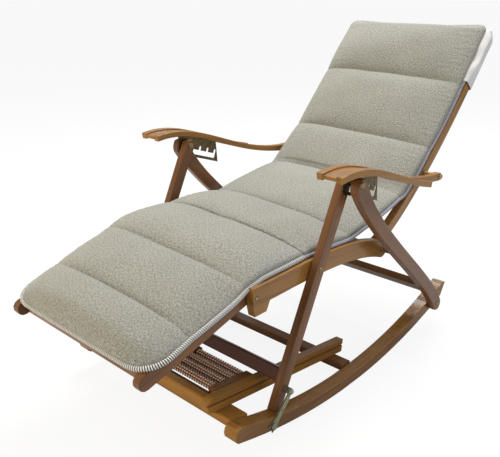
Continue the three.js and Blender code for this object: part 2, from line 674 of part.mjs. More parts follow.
function addSeat() {
  const strip = stripOutline(seatRailCurve, () => SEAT_RAIL_DEPTH, {});
  const front = strip[0];
  const heel = strip.findIndex((place) => place.x > front.x + SEAT_HOOK_LENGTH);
  const hook = [
    front,
    new THREE.Vector2(front.x + SEAT_HOOK_SLANT, front.y - SEAT_HOOK_DROP),
    new THREE.Vector2(front.x + SEAT_HOOK_LENGTH - 2 * SEAT_HOOK_SLANT, front.y - SEAT_HOOK_DROP),
    new THREE.Vector2(front.x + SEAT_HOOK_LENGTH, strip[heel].y),
  ];
  const rearEnd = seatRailCurve.getTangent(1).angle() - 2 * Math.PI;
  const [underEnd, radius] = [rearEnd - Math.PI / 2, SEAT_RAIL_DEPTH / 2];
  const underSweep = restOutward.angle() - 2 * Math.PI - underEnd;
  const overSweep = rearEnd + Math.PI / 2 - REST_HEEL_RISE;
  const under = arc(point(BACK_PIVOT), radius, underEnd, underSweep, CAP_SEGMENTS / 2);
  const over = arc(point(BACK_PIVOT), radius, REST_HEEL_RISE, overSweep, CAP_SEGMENTS);
  const heelTip = restHeel.clone().add(restAlong.clone().multiplyScalar(REST_HEEL_LENGTH));
  const middle = CURVE_STEPS + 1;
  const rail = [...strip.slice(heel, middle), ...under, restHeel, heelTip, ...over, ...strip.slice(middle)];
  const outline = [...hook, ...rail];
  const geometry = slab(
    boredShape(outline, [SEAT_PIVOT, LEG_REST_PIVOT, BACK_PIVOT]),
    SEAT_RAIL_THICKNESS,
    EDGE_CHAMFER,
  );
  addPair('seat_rail', geometry, SEAT_RAIL_THICKNESS, seatRailX, materials.gold);
  addHingeRod('seat_pivot_rod', SEAT_PIVOT, FRONT_LEG_INNER_X + FRONT_LEG_THICKNESS);

  const reachX = seatRailX - SEAT_GAP;
  const stopY = LEG_REST_PIVOT.y + legRestHeel() + SEAT_GAP + STOP_BAR_WIDTH / 2;
  const stop = barShape(new THREE.Vector2(stopY, STOP_BAR_Z), 0, STOP_BAR_WIDTH, STOP_BAR_HEIGHT);
  addSpan(chair, 'seat_front_bar', stop, reachX, materials.gold());
  SEAT_SLAT_SHARES.forEach((share, index) => {
    addSlat(`seat_slat_${index + 1}`, seatRailCurve, share, SEAT_RAIL_DEPTH, reachX);
  });
  addHingeRod('leg_rest_hinge_rod', LEG_REST_PIVOT, FRONT_LEG_INNER_X - SIDE_GAP);
  addHingeRod('back_hinge_rod', BACK_PIVOT, FRONT_LEG_INNER_X - SIDE_GAP);
}

// A slat lies across the frame, flush with the rails' upper faces.
function addSlat(name, curve, share, railDepth, reachX) {
  const tangent = curve.getTangent(share);
  const rise = railDepth / 2 - SLAT_THICKNESS / 2;
  const centre = curve.getPoint(share).add(new THREE.Vector2(-tangent.y, tangent.x).multiplyScalar(rise));
  const section = barShape(centre, tangent.angle(), SLAT_WIDTH, SLAT_THICKNESS);
  addSpan(chair, name, section, reachX, materials.gold());
}

function addHingeRod(name, place, endX) {
  const rod = [
    [-endX, 0],
    [-endX, PIN_RADIUS],
    [endX, PIN_RADIUS],
    [endX, 0],
  ];
  addTurned(chair, name, turned(rod), place, 1, materials.zinc());
}

// Leg rest: two rails on the seat's front rod, whose heels bear on the stop bar
const innerRailX = seatRailX - SIDE_GAP - LEG_REST_THICKNESS;
const legRestDown = along(LEG_REST_ANGLE + Math.PI, 1);
const legRestCurve = new THREE.LineCurve(
  point(LEG_REST_PIVOT).add(legRestDown.clone().multiplyScalar(LEG_REST_LENGTH)),
  point(LEG_REST_PIVOT).sub(legRestDown.clone().multiplyScalar(LEG_REST_TAIL)),
);
const legRestHeel = () =>
  LEG_REST_TAIL * Math.cos(LEG_REST_ANGLE) + (LEG_REST_DEPTH / 2) * Math.sin(LEG_REST_ANGLE);

function addLegRest() {
  const outline = stripOutline(legRestCurve, () => LEG_REST_DEPTH, { roundStart: true, steps: 1 });
  const geometry = slab(boredShape(outline, [LEG_REST_PIVOT]), LEG_REST_THICKNESS, EDGE_CHAMFER);
  addPair('leg_rest_rail', geometry, LEG_REST_THICKNESS, innerRailX, materials.frame);
  const reachX = innerRailX - SEAT_GAP;
  const whole = LEG_REST_LENGTH + LEG_REST_TAIL;
  const barShare = LEG_REST_BAR_SETBACK / whole;
  const centre = legRestCurve.getPoint(barShare);
  const bar = barShape(centre, LEG_REST_ANGLE, LEG_REST_BAR_WIDTH, LEG_REST_DEPTH);
  addSpan(chair, 'leg_rest_front_bar', bar, reachX, materials.dark());
}

// Back frame: two curved rails joined by slats, turning on the seat's rear rod
const backBend = (runShare, riseShare) => ({
  y: BACK_PIVOT.y + (BACK_TOP.y - BACK_PIVOT.y) * runShare,
  z: BACK_PIVOT.z + (BACK_TOP.z - BACK_PIVOT.z) * riseShare,
});
const backCurve = bezier(
  BACK_PIVOT,
  backBend(BACK_LOWER_RUN_SHARE, BACK_LOWER_RISE_SHARE),
  backBend(BACK_UPPER_RUN_SHARE, BACK_UPPER_RISE_SHARE),
  BACK_TOP,
);
const armPivotTangent = backCurve.getTangent(ARM_PIVOT_SHARE);
const armPivotPoint = backCurve
  .getPoint(ARM_PIVOT_SHARE)
  .add(new THREE.Vector2(-armPivotTangent.y, armPivotTangent.x).multiplyScalar(ARM_PIVOT_OFFSET));
const armPivot = { y: armPivotPoint.x, z: armPivotPoint.y };

function addBack() {
  const outline = stripOutline(backCurve, () => BACK_RAIL_DEPTH, { roundStart: true, roundEnd: true });
  const geometry = slab(boredShape(outline, [BACK_PIVOT, armPivot]), LEG_REST_THICKNESS, EDGE_CHAMFER);
  addPair('back_rail', geometry, LEG_REST_THICKNESS, innerRailX, materials.frame);
  const reachX = innerRailX - SEAT_GAP;
  BACK_SLAT_SHARES.forEach((share, index) => {
    addSlat(`back_slat_${index + 1}`, backCurve, share, BACK_RAIL_DEPTH, reachX);
  });
}

// Armrests: two waved strips with a panel between them at the front and a spacer at the rear
const armCurve = bezier(ARM_FRONT, ARM_FRONT_BEND, ARM_REAR_BEND, armPivot);
const armDepth = (share) => ARM_DEPTH + (2 * ARM_EYE_RADIUS - ARM_DEPTH) * share ** 12;

function addArmrests() {
  const inner = stripOutline(armCurve, armDepth, { roundEnd: true });
  const innerSlab = slab(boredShape(inner, [armPivot]), ARM_STRIP_WIDTH, EDGE_CHAMFER);
  addPair('armrest_inner_strip', innerSlab, ARM_STRIP_WIDTH, ARM_INNER_X, materials.frame);

  const outer = stripOutline(armCurve, armDepth, { to: ARM_OUTER_SHARE });
  const bridgeWidth = ARM_WIDTH - 2 * ARM_STRIP_WIDTH - SEAT_GAP;
  const bridgeRanges = [
    { from: 0, to: ARM_PANEL_SHARE, steps: CURVE_STEPS / 2 },
    { from: ARM_SPACER_SHARE, to: ARM_OUTER_SHARE, steps: 2 },
  ];
  const strip = slab(new THREE.Shape(outer), ARM_STRIP_WIDTH, EDGE_CHAMFER);
  strip.translate(0, 0, bridgeWidth);
  let body = solid(strip);
  bridgeRanges.forEach((range) => {
    const bridge = new THREE.Shape(stripOutline(armCurve, () => ARM_PANEL_DEPTH, range));
    body = body.add(solid(slab(bridge, bridgeWidth + ARM_STRIP_WIDTH / 2)));
  });
  const outerX = ARM_INNER_X + ARM_STRIP_WIDTH + SEAT_GAP;
  const left = geometryOf(body);
  const right = geometryOf(body.mirror([0, 0, 1]));
  addMesh(chair, 'armrest_outer_left', left, materials.gold(), new THREE.Vector3(outerX, 0, 0), SIDE_BASIS);
  addMesh(chair, 'armrest_outer_right', right, materials.gold(), new THREE.Vector3(-outerX, 0, 0), SIDE_BASIS);

  const railFaceX = innerRailX + LEG_REST_THICKNESS;
  const pivot = [
    [innerRailX - HEAD_THICKNESS, 0],
    [innerRailX - HEAD_THICKNESS, HEAD_RADIUS],
    [innerRailX - SEAT_GAP, HEAD_RADIUS],
    [innerRailX - SEAT_GAP, PIN_RADIUS],
    [railFaceX + SEAT_GAP, PIN_RADIUS],
    [railFaceX + SEAT_GAP, ARM_COLLAR_RADIUS],
    [ARM_INNER_X - SEAT_GAP, ARM_COLLAR_RADIUS],
    [ARM_INNER_X - SEAT_GAP, PIN_RADIUS],
    [ARM_INNER_X + ARM_STRIP_WIDTH + SEAT_GAP, PIN_RADIUS],
    [ARM_INNER_X + ARM_STRIP_WIDTH + SEAT_GAP, HEAD_RADIUS],
    [ARM_INNER_X + ARM_STRIP_WIDTH + SEAT_GAP + HEAD_THICKNESS, HEAD_RADIUS * HEAD_TIP_SHARE],
    [ARM_INNER_X + ARM_STRIP_WIDTH + SEAT_GAP + HEAD_THICKNESS, 0],
  ];
  addTurnedPair('arm_bolt', pivot, armPivot, materials.brass);
}

// Notch plates: a comb of slots over a window, hung under the inner strips
function addNotchPlates() {
  const forward = along(PLATE_TILT, 1);
  const up = along(PLATE_TILT + Math.PI / 2, 1);
  const at = (reach, rise) =>
    point(TOP_PIVOT).add(forward.clone().multiplyScalar(reach)).add(up.clone().multiplyScalar(rise));
  const last = (NOTCH_COUNT - 1) * NOTCH_PITCH;
  const frontEnd = at(-PLATE_FRONT_MARGIN, -PLATE_DROP);
  const rearEnd = at(last + PLATE_REAR_MARGIN, -PLATE_DROP);
  const topEdge = [];
  for (let i = 0; i <= 2 * CURVE_STEPS; i += 1) {
    const share = i / (2 * CURVE_STEPS);
    const tangent = armCurve.getTangent(share);
    const sink = armDepth(share) / 2 + SEAT_GAP;
    const downward = new THREE.Vector2(tangent.y, -tangent.x).multiplyScalar(sink);
    const place = armCurve.getPoint(share).add(downward);
    if (place.x > frontEnd.x && place.x < rearEnd.x) {
      topEdge.push(place);
    }
  }
  const shape = new THREE.Shape([frontEnd, rearEnd, ...topEdge.reverse()]);
  const half = NOTCH_WIDTH / 2;
  const windowEdge = [at(-half, -WINDOW_DROP)];
  for (let i = 0; i < NOTCH_COUNT; i += 1) {
    const reach = i * NOTCH_PITCH;
    if (i > 0) {
      windowEdge.push(at(reach - half, -TOOTH_DROP));
    }
    windowEdge.push(at(reach - half, 0));
    windowEdge.push(...arc(at(reach, 0), half, PLATE_TILT + Math.PI, -Math.PI, CAP_SEGMENTS));
    windowEdge.push(at(reach + half, 0));
    if (i < NOTCH_COUNT - 1) {
      windowEdge.push(at(reach + half, -TOOTH_DROP));
    }
  }
  windowEdge.push(at(last + half, -WINDOW_DROP));
  shape.holes.push(new THREE.Path(windowEdge));
  addPair('notch_plate', slab(shape, PLATE_THICKNESS), PLATE_THICKNESS, PLATE_X, materials.zinc);
}

// Cushion: quilted pads that follow the frames, with sewn channels between the panels
function padGeometry(placeAt, length, panels, corners) {
  const stations = panels * PAD_STATIONS_PER_PANEL;
  const rings = [];
  for (let i = 0; i <= stations; i += 1) {
    const share = i / stations;
    const reach = length * share;
    const fromEnd = Math.min(reach, length - reach);
    const atCorner = (i <= stations / 2 ? corners.start : corners.end) ? PAD_CORNER_RADIUS : 0;
    const inset = Math.max(0, atCorner - fromEnd);
    const halfWidth = PAD_WIDTH / 2 - atCorner + Math.sqrt(Math.max(0, atCorner ** 2 - inset ** 2));
    const roundShare = Math.sqrt(Math.min(1, (fromEnd + PAD_LIFT) / PAD_END_ROUND));
    const panelShare = (share * panels) % 1;
    const puff = PAD_CHANNEL_SHARE + (1 - PAD_CHANNEL_SHARE) * Math.sqrt(Math.sin(Math.PI * panelShare));
    rings.push(padRing(placeAt(reach), halfWidth, PAD_THICKNESS * puff * roundShare));
  }
  return loftedRings(rings);
}

// A section is flat below and crowned above, and its rounded sides are thinner than its middle.
function padRing({ centre, normal }, halfWidth, height) {
  const ring = [];
  for (let j = 0; j < PAD_RING_POINTS; j += 1) {
    const angle = (2 * Math.PI * j) / PAD_RING_POINTS;
    const across = Math.sign(Math.cos(angle)) * Math.sqrt(Math.abs(Math.cos(angle)));
    const lift = Math.sign(Math.sin(angle)) * Math.sqrt(Math.abs(Math.sin(angle)));
    const crown = PAD_EDGE_SHARE + (1 - PAD_EDGE_SHARE) * (1 - across ** 2);
    const edge = PAD_EDGE_SHARE / 2;
    const rise = PAD_LIFT + height * (edge + lift * (lift > 0 ? crown - edge : edge));
    ring.push(new THREE.Vector3(halfWidth * across, centre.x + normal.x * rise, centre.y + normal.y * rise));
  }
  return ring;
}

function loftedRings(rings) {
  const positions = [];
  const indices = [];
  const size = rings[0].length;
  rings.forEach((ring) => ring.forEach((place) => positions.push(place.x, place.y, place.z)));
  for (let i = 0; i + 1 < rings.length; i += 1) {
    for (let j = 0; j < size; j += 1) {
      const next = (j + 1) % size;
      const [a, b, c, d] = [i * size + j, i * size + next, (i + 1) * size + next, (i + 1) * size + j];
      indices.push(a, c, b, a, d, c);
    }
  }
  [0, rings.length - 1].forEach((ringIndex) => {
    const total = rings[ringIndex].reduce((sum, place) => sum.add(place), new THREE.Vector3());
    const middle = total.divideScalar(size);
    const centreIndex = positions.length / 3;
    positions.push(middle.x, middle.y, middle.z);
    for (let j = 0; j < size; j += 1) {
      const next = (j + 1) % size;
      const pair = ringIndex === 0 ? [j, next] : [next, j];
      indices.push(centreIndex, ringIndex * size + pair[0], ringIndex * size + pair[1]);
    }
  });
  const geometry = new THREE.BufferGeometry();
  geometry.setAttribute('position', new THREE.Float32BufferAttribute(positions, 3));
  geometry.setIndex(indices);
  geometry.computeVertexNormals();
  return geometry;
}

// The place on a frame's upper face at a distance along its curve
function faceOf(curve, railDepth, startReach) {
  const whole = curve.getLength();
  return (reach) => {
    const share = THREE.MathUtils.clamp((startReach + reach) / whole, 0, 1);
    const beyond = startReach + reach - share * whole;
    const tangent = curve.getTangentAt(share);
    const normal = new THREE.Vector2(-tangent.y, tangent.x);
    const centre = curve.getPointAt(share);
    centre.add(tangent.clone().multiplyScalar(beyond)).add(normal.clone().multiplyScalar(railDepth / 2));
    return { centre, normal };
  };
}

function addCushion() {
  const noTurn = new THREE.Quaternion();
  const origin = new THREE.Vector3();
  const leg = faceOf(legRestCurve, LEG_REST_DEPTH, -PAD_LEG_FRONT_REACH);
  const legLength = LEG_REST_LENGTH + PAD_LEG_FRONT_REACH - PAD_LEG_REAR_GAP;
  const seatStart = LEG_REST_PIVOT.y - SEAT_RAIL_FRONT.y + PAD_SEAT_FRONT_GAP;
  const seat = faceOf(seatRailCurve, SEAT_RAIL_DEPTH, seatStart);
  const seatLength = seatRailCurve.getLength() - seatStart - PAD_SEAT_REAR_GAP;
  const back = faceOf(backCurve, BACK_RAIL_DEPTH, PAD_BACK_START);
  const backLength = backCurve.getLength() + PAD_BACK_OVERHANG - PAD_BACK_START;
  const pads = [
    ['cushion_leg_rest', leg, legLength, PAD_PANELS.leg, { start: true }],
    ['cushion_seat', seat, seatLength, PAD_PANELS.seat, {}],
    ['cushion_back', back, backLength, PAD_PANELS.back, { end: true }],
  ];
  pads.forEach(([name, placeAt, length, panels, corners]) => {
    addMesh(chair, name, padGeometry(placeAt, length, panels, corners), materials.fabric(), origin, noTurn);
  });
}

addRockers();
addPlanks();
addRollerFrame();
addRearLegs();
addFrontLegs();
addStays();
addSeat();
addLegRest();
addBack();
addArmrests();
addNotchPlates();
addCushion();

const bounds = new THREE.Box3().setFromObject(chair, true);
chair.position.y = -(bounds.min.y + bounds.max.y) / 2;

export default chair;
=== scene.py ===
"""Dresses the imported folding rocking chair: lacquered bamboo, plated metal, a quilted linen cushion,
ribbed foot rollers, bent rear legs, fasteners and a pale studio. Lengths are in metres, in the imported
model's frame.
"""
import json
import math

import bpy
import numpy as np
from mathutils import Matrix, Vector


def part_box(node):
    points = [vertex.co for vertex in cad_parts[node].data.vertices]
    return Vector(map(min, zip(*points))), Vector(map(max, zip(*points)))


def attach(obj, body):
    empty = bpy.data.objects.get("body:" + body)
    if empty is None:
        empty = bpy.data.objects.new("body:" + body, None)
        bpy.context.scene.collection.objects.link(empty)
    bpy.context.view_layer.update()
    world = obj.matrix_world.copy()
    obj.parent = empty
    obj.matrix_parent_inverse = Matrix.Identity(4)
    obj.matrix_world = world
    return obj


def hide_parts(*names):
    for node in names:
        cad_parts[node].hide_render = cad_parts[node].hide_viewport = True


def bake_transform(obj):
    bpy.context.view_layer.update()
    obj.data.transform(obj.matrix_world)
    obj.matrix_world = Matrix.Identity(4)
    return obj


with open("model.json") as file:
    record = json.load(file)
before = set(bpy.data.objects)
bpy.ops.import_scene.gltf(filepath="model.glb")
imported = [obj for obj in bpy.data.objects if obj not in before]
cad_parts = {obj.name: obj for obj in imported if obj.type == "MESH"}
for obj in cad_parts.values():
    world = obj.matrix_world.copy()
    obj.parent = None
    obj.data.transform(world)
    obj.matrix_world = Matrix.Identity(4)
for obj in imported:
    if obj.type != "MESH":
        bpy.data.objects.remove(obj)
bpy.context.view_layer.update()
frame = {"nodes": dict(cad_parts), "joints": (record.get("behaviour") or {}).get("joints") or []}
NODES = frame["nodes"]
JOINTS = {joint["name"]: joint for joint in frame["joints"]}

bl_info = {
    "name": "Folding rocking chair",
    "version": (1, 0, 0),
    "blender": (4, 5, 0),
    "location": "View3D > Sidebar > Chair",
    "description": "Makes the finishes and soft pieces of a folding rocking chair",
    "category": "Object",
}

SIDES = {"left": 1, "right": -1}
TURN = 2 * math.pi


def hinge_place(name):
    """(y, z) of a hinge."""
    return np.array(JOINTS[name]["pos_m"][1:])


# Side view places (y, z). FLOOR_POINT lies on the floor, under the rockers' middle.
TOP_HINGE = hinge_place("leg_close")
FLOOR_POINT = TOP_HINGE - (-0.048, 0.575)
REST_HINGE = hinge_place("leg_rest_lift")
ARM_HINGE = hinge_place("arm_swing_left")
ROCKER_HINGE = hinge_place("fold")
SEAT_BOLT = FLOOR_POINT + (-0.141, 0.380)
STAY_TOP = FLOOR_POINT + (-0.268, 0.114)
STAY_FOOT = FLOOR_POINT + (-0.329, 0.050)

# The curves of the seat and back frames, and how far the frames' upper faces lie above them
SEAT_CURVE = FLOOR_POINT + np.array([(-0.354, 0.373), (-0.180, 0.376), (0.030, 0.388), (0.176, 0.329)])
BACK_CURVE = FLOOR_POINT + np.array([(0.176, 0.329), (0.370, 0.410), (0.600, 0.650), (0.766, 0.848)])
SEAT_FACE = 0.024
BACK_FACE = 0.016
REST_FACE = 0.018
REST_ANGLE = math.radians(15.3)

# The cushion's path: its gap over the frames, how far it reaches from the leg rest's hinge, where the
# seat's part starts, the corner it bridges between seat and back, and how far it goes past the back rails
PAD_GAP = 0.001
REST_REACH = (0.304, 0.03)
SEAT_START = FLOOR_POINT[0] - 0.31
CREASE = FLOOR_POINT[0] + np.array([0.030, 0.325])
PAST_RAILS = (0.002, 0.028)
PATH_STEP = 0.003
PATH_SOFTENING = 10
SEAM_PLACES = FLOOR_POINT[0] + np.array([-0.523, -0.358, -0.160, 0.030, 0.300, 0.460, 0.628])
SPLIT_SEAM = 2

# Rows of (place along Y, reach towards +X, reach towards -X) of the cushion, which lies off centre
EDGE_REACH = np.array([
    (-0.660, 0.2455, 0.2500),
    (-0.342, 0.2455, 0.2580),
    (0.030, 0.2455, 0.2570),
    (0.190, 0.2400, 0.2570),
    (0.300, 0.2320, 0.2610),
    (0.560, 0.2315, 0.2635),
    (0.640, 0.2315, 0.2680),
    (0.790, 0.2315, 0.2680),
])

# A ring round the cushion: exponents of |cos| across and |sin| up, on its upper and its lower half
UPPER_POWERS = (0.5, 0.65)
LOWER_POWERS = (0.4, 0.14)
RING_COLUMNS = 200
# A panel's swell between two channels, the sides' height at a channel as a share, and their pull there
SWELL_POWER = 0.36
CHANNEL_EDGE_SHARE = 0.72
SEAM_PULL = 0.0035
# The lengths over which the cushion's two ends round off: at the feet and at the head
END_REACH = (0.045, 0.022)
# The rim hangs over the leg rest's rails by RIM_DROOP, and is thinner there by this many times the droop
RIM_DROOP = 0.005
FRONT_THINNER = 2.0
# The cushion is fuller towards -X: by nothing at x = FULL_FROM, and by FAR_FULLNESS a FULL_SPAN further
FAR_FULLNESS = 0.016
FULL_FROM = 0.16
FULL_SPAN = 0.40
# The corners at the head reach out by EAR_LENGTH, within EAR_REACH of the end
EAR_LENGTH = 0.010
EAR_REACH = 0.07
# How far the edging is sunk into the cushion's underside
EDGING_SINK = 0.001

# Finishes of the edgings: light, dark and the pitch of the wraps along the edging
EDGING_LOOKS = {
    "front": ("Overcast edging", (0.80, 0.80, 0.76), (0.012, 0.012, 0.014), 0.0050),
    "rear": ("Grey piping", (0.46, 0.46, 0.52), (0.20, 0.20, 0.235), 0.0048),
}
COTTON_LIGHT = (0.86, 0.86, 0.85, 1)
COTTON_SHADE = (0.62, 0.62, 0.63, 1)

# The width of a glued strip of bamboo, and the distance between the cane's joints
STRIP_WIDTH = 0.0125
CANE_JOINT_PITCH = 0.26

# Which way the fibres of each bamboo piece run: an angle above +Y, or None along X
GRAIN = {
    "rocker": 0.0,
    "front_leg": math.radians(64.4),
    "rear_leg": math.radians(-44),
    "leg_rest_rail": REST_ANGLE,
    "back_rail": math.radians(43),
    "armrest_inner_strip": math.radians(-12),
    "armrest_outer": math.radians(-12),
    "seat_rail": math.radians(-4),
    "foot_rail": math.radians(-7.8),
    "roller_bar": math.radians(-7.8),
    **dict.fromkeys((
        "rocker_front_plank", "rocker_middle_plank", "rear_leg_crossbar", "seat_rest_bar", "front_leg_stretcher",
        "leg_rest_front_bar", "foot_frame_front_bar", "seat_front_bar", "seat_slat", "back_slat",
    )),
}
DARK_PIECES = ("front_leg_stretcher",)
GOLD_PIECES = (
    "armrest_outer", "armrest_inner_strip", "seat_slat", "back_slat", "foot_rail", "seat_rail", "back_rail",
    "rocker", "rocker_front_plank", "foot_frame_front_bar",
)
ZINC_PIECES = ("stay", "seat_pivot_rod")
BRASS_PIECES = ("rocker_bolt", "top_pin", "arm_bolt")


def length_setting(name, description, default):
    """A length that a user may change."""
    return bpy.props.FloatProperty(name=name, description=description, default=default, unit="LENGTH")


def colour_setting(name, description, default):
    """A colour that a user may change."""
    return bpy.props.FloatVectorProperty(name=name, description=description, default=default, subtype="COLOR")


def power_setting(name, description, default):
    """A strength of light that a user may change."""
    return bpy.props.FloatProperty(name=name, description=description, default=default, min=0)


class ChairSizes(bpy.types.PropertyGroup):
    """Sizes of the soft pieces and the small details"""

    pad_width: length_setting("Ring width", "Of the ring that spaces the points round the cushion", 0.488)
    pad_height: length_setting("Cushion height", "At the middle of a panel", 0.053)
    edge_height: length_setting("Edge height", "Of the cushion's sides", 0.030)
    channel_depth: length_setting("Channel depth", "Of a sewn channel below a panel", 0.026)
    wrinkle_height: length_setting("Wrinkle height", "Of the puckers beside the seams", 0.0013)
    corner_radius: length_setting("Corner radius", "Of the cushion's two corners at the feet", 0.062)
    top_corner_radius: length_setting("Top corner radius", "Of the cushion's two corners at the head", 0.028)
    pocket_thickness: length_setting("Pocket cloth", "Thickness of the pocket over the back frame's top", 0.0016)
    overcast_radius: length_setting("Overcast radius", "Of the overcast edging round the leg rest and seat", 0.0058)
    piping_radius: length_setting("Piping radius", "Of the piping round the back", 0.0050)
    stitch_length: length_setting("Stitch length", "Of one stitch in a sewn channel", 0.0055)
    thread_radius: length_setting("Thread radius", "Of the quilting thread", 0.0013)
    roller_radius: length_setting("Roller radius", "Of a foot roller over its ribs", 0.011)
    roller_rib_pitch: length_setting("Rib pitch", "From one rib of a foot roller to the next", 0.0082)
    head_radius: length_setting("Bolt head radius", "Of the domed bolt heads", 0.0078)


class ChairColours(bpy.types.PropertyGroup):
    """Colours of the finishes"""

    bamboo_light: colour_setting("Bamboo light", "Light fibres of the brown bamboo", (0.255, 0.110, 0.034))
    bamboo_dark: colour_setting("Bamboo dark", "Dark fibres of the brown bamboo", (0.085, 0.032, 0.012))
    stretcher_light: colour_setting("Stretcher light", "Light fibres of the dark bar", (0.105, 0.036, 0.019))
    stretcher_dark: colour_setting("Stretcher dark", "Dark fibres of the dark bar", (0.050, 0.017, 0.011))
    gold_light: colour_setting("Golden light", "Light fibres of the golden bamboo", (0.41, 0.195, 0.036))
    gold_dark: colour_setting("Golden dark", "Dark fibres of the golden bamboo", (0.16, 0.068, 0.016))
    roller_light: colour_setting("Roller light", "Light fibres of the foot rollers", (0.24, 0.095, 0.05))
    roller_dark: colour_setting("Roller dark", "Dark fibres of the foot rollers", (0.085, 0.03, 0.017))
    # roller_glint is a painted highlight: pale glints on the crests of the rollers' ribs, painted into the colour
    roller_glint: colour_setting("Roller glint", "Painted highlights on the crests of the rollers' ribs", (0.95, 0.68, 0.52))
    linen_light: colour_setting("Linen light", "Light threads of the cover", (0.53, 0.525, 0.46))
    linen_dark: colour_setting("Linen dark", "Dark threads of the cover", (0.105, 0.105, 0.092))
    thread: colour_setting("Thread", "Quilting thread", (0.05, 0.045, 0.04))
    zinc: colour_setting("Zinc", "Yellow zinc plating", (0.52, 0.53, 0.36))
    brass: colour_setting("Brass", "Bolt heads", (0.45, 0.33, 0.15))
    bronze: colour_setting("Bronze", "Notch plates", (0.20, 0.155, 0.085))


class StudioSettings(bpy.types.PropertyGroup):
    """The camera and the light"""

    lens: bpy.props.FloatProperty(
        name="Lens", description="Focal length on a 36 mm wide frame, in millimetres", default=45.69
    )
    camera_place: bpy.props.FloatVectorProperty(
        name="Camera place", description="Measured from the floor point under the rockers",
        default=(1.0833, -1.2621, 1.0001), subtype="TRANSLATION",
    )
    camera_heading: bpy.props.FloatProperty(
        name="Camera heading", description="Turn of the view from +Y towards -X",
        default=math.radians(42.5), unit="ROTATION",
    )
    camera_drop: bpy.props.FloatProperty(
        name="Camera drop", description="Tilt of the view below the horizon",
        default=math.radians(20.7), unit="ROTATION",
    )
    sky_strength: power_setting("Sky strength", "Of the even light from all round", 0.42)
    key_power: power_setting("Key power", "Of the lamp above and behind the chair, in watts", 115)
    fill_power: power_setting("Fill power", "Of the warm lamp in front of the chair, in watts", 58)
    side_power: power_setting("Side power", "Of the cool lamp at the sitter's left, in watts", 17)


# Shader helpers

def new_material(name):
    """A material with its tree, and its surface shader."""
    material = bpy.data.materials.new(name)
    material.use_nodes = True
    tree = material.node_tree
    return material, tree, tree.nodes["Principled BSDF"]


def feed(tree, node, values):
    """Links each named input of a node to its value if that is a socket, and otherwise sets it."""
    for key, value in values.items():
        if isinstance(value, bpy.types.NodeSocket):
            tree.links.new(value, node.inputs[key])
        else:
            node.inputs[key].default_value = value


def add_node(tree, kind, values=None, **settings):
    """A node with its settings, and with its named inputs fed."""
    node = tree.nodes.new(kind)
    for name, value in settings.items():
        setattr(node, name, value)
    feed(tree, node, values or {})
    return node


def calculate(tree, operation, first, second=0.0):
    """The result of one sum on two values."""
    return add_node(tree, "ShaderNodeMath", {0: first, 1: second}, operation=operation).outputs[0]


def weighted(tree, total, value, weight):
    """A total with a weighted value added."""
    return calculate(tree, "ADD", total, calculate(tree, "MULTIPLY", value, weight))


def noise(tree, place, scale, detail=2.0, roughness=0.5):
    """Smooth noise round 0.5."""
    values = {"Vector": place, "Scale": scale, "Detail": detail, "Roughness": roughness}
    return add_node(tree, "ShaderNodeTexNoise", values).outputs["Fac"]


def stretched(tree, place, factors):
    """A place with each axis scaled by its factor."""
    return add_node(tree, "ShaderNodeVectorMath", {0: place, 1: factors}, operation="MULTIPLY").outputs[0]


def ramp(tree, value, low=0.0, high=1.0, start=0.0, end=1.0):
    """From start to end as the value goes from low to high, and level outside."""
    values = {"Value": value, "From Min": low, "From Max": high, "To Min": start, "To Max": end}
    return add_node(tree, "ShaderNodeMapRange", values).outputs[0]


def blend_colours(tree, share, first, second):
    """A colour between two others."""
    node = add_node(tree, "ShaderNodeMix", {0: share, 6: first, 7: second}, data_type="RGBA")
    return node.outputs[2]


def middle_distance(tree, value):
    """How far the value's fraction lies from a half."""
    return calculate(tree, "ABSOLUTE", calculate(tree, "SUBTRACT", calculate(tree, "FRACT", value), 0.5))


def new_group(name, inputs, outputs):
    """A shader group, its two end nodes, and sockets made from their names and the ends of their kinds."""
    group = bpy.data.node_groups.new(name, "ShaderNodeTree")
    for in_out, sockets in (("INPUT", inputs), ("OUTPUT", outputs)):
        for label, kind in sockets.items():
            group.interface.new_socket(name=label, in_out=in_out, socket_type="NodeSocket" + kind)
    return group, group.nodes.new("NodeGroupInput"), group.nodes.new("NodeGroupOutput")


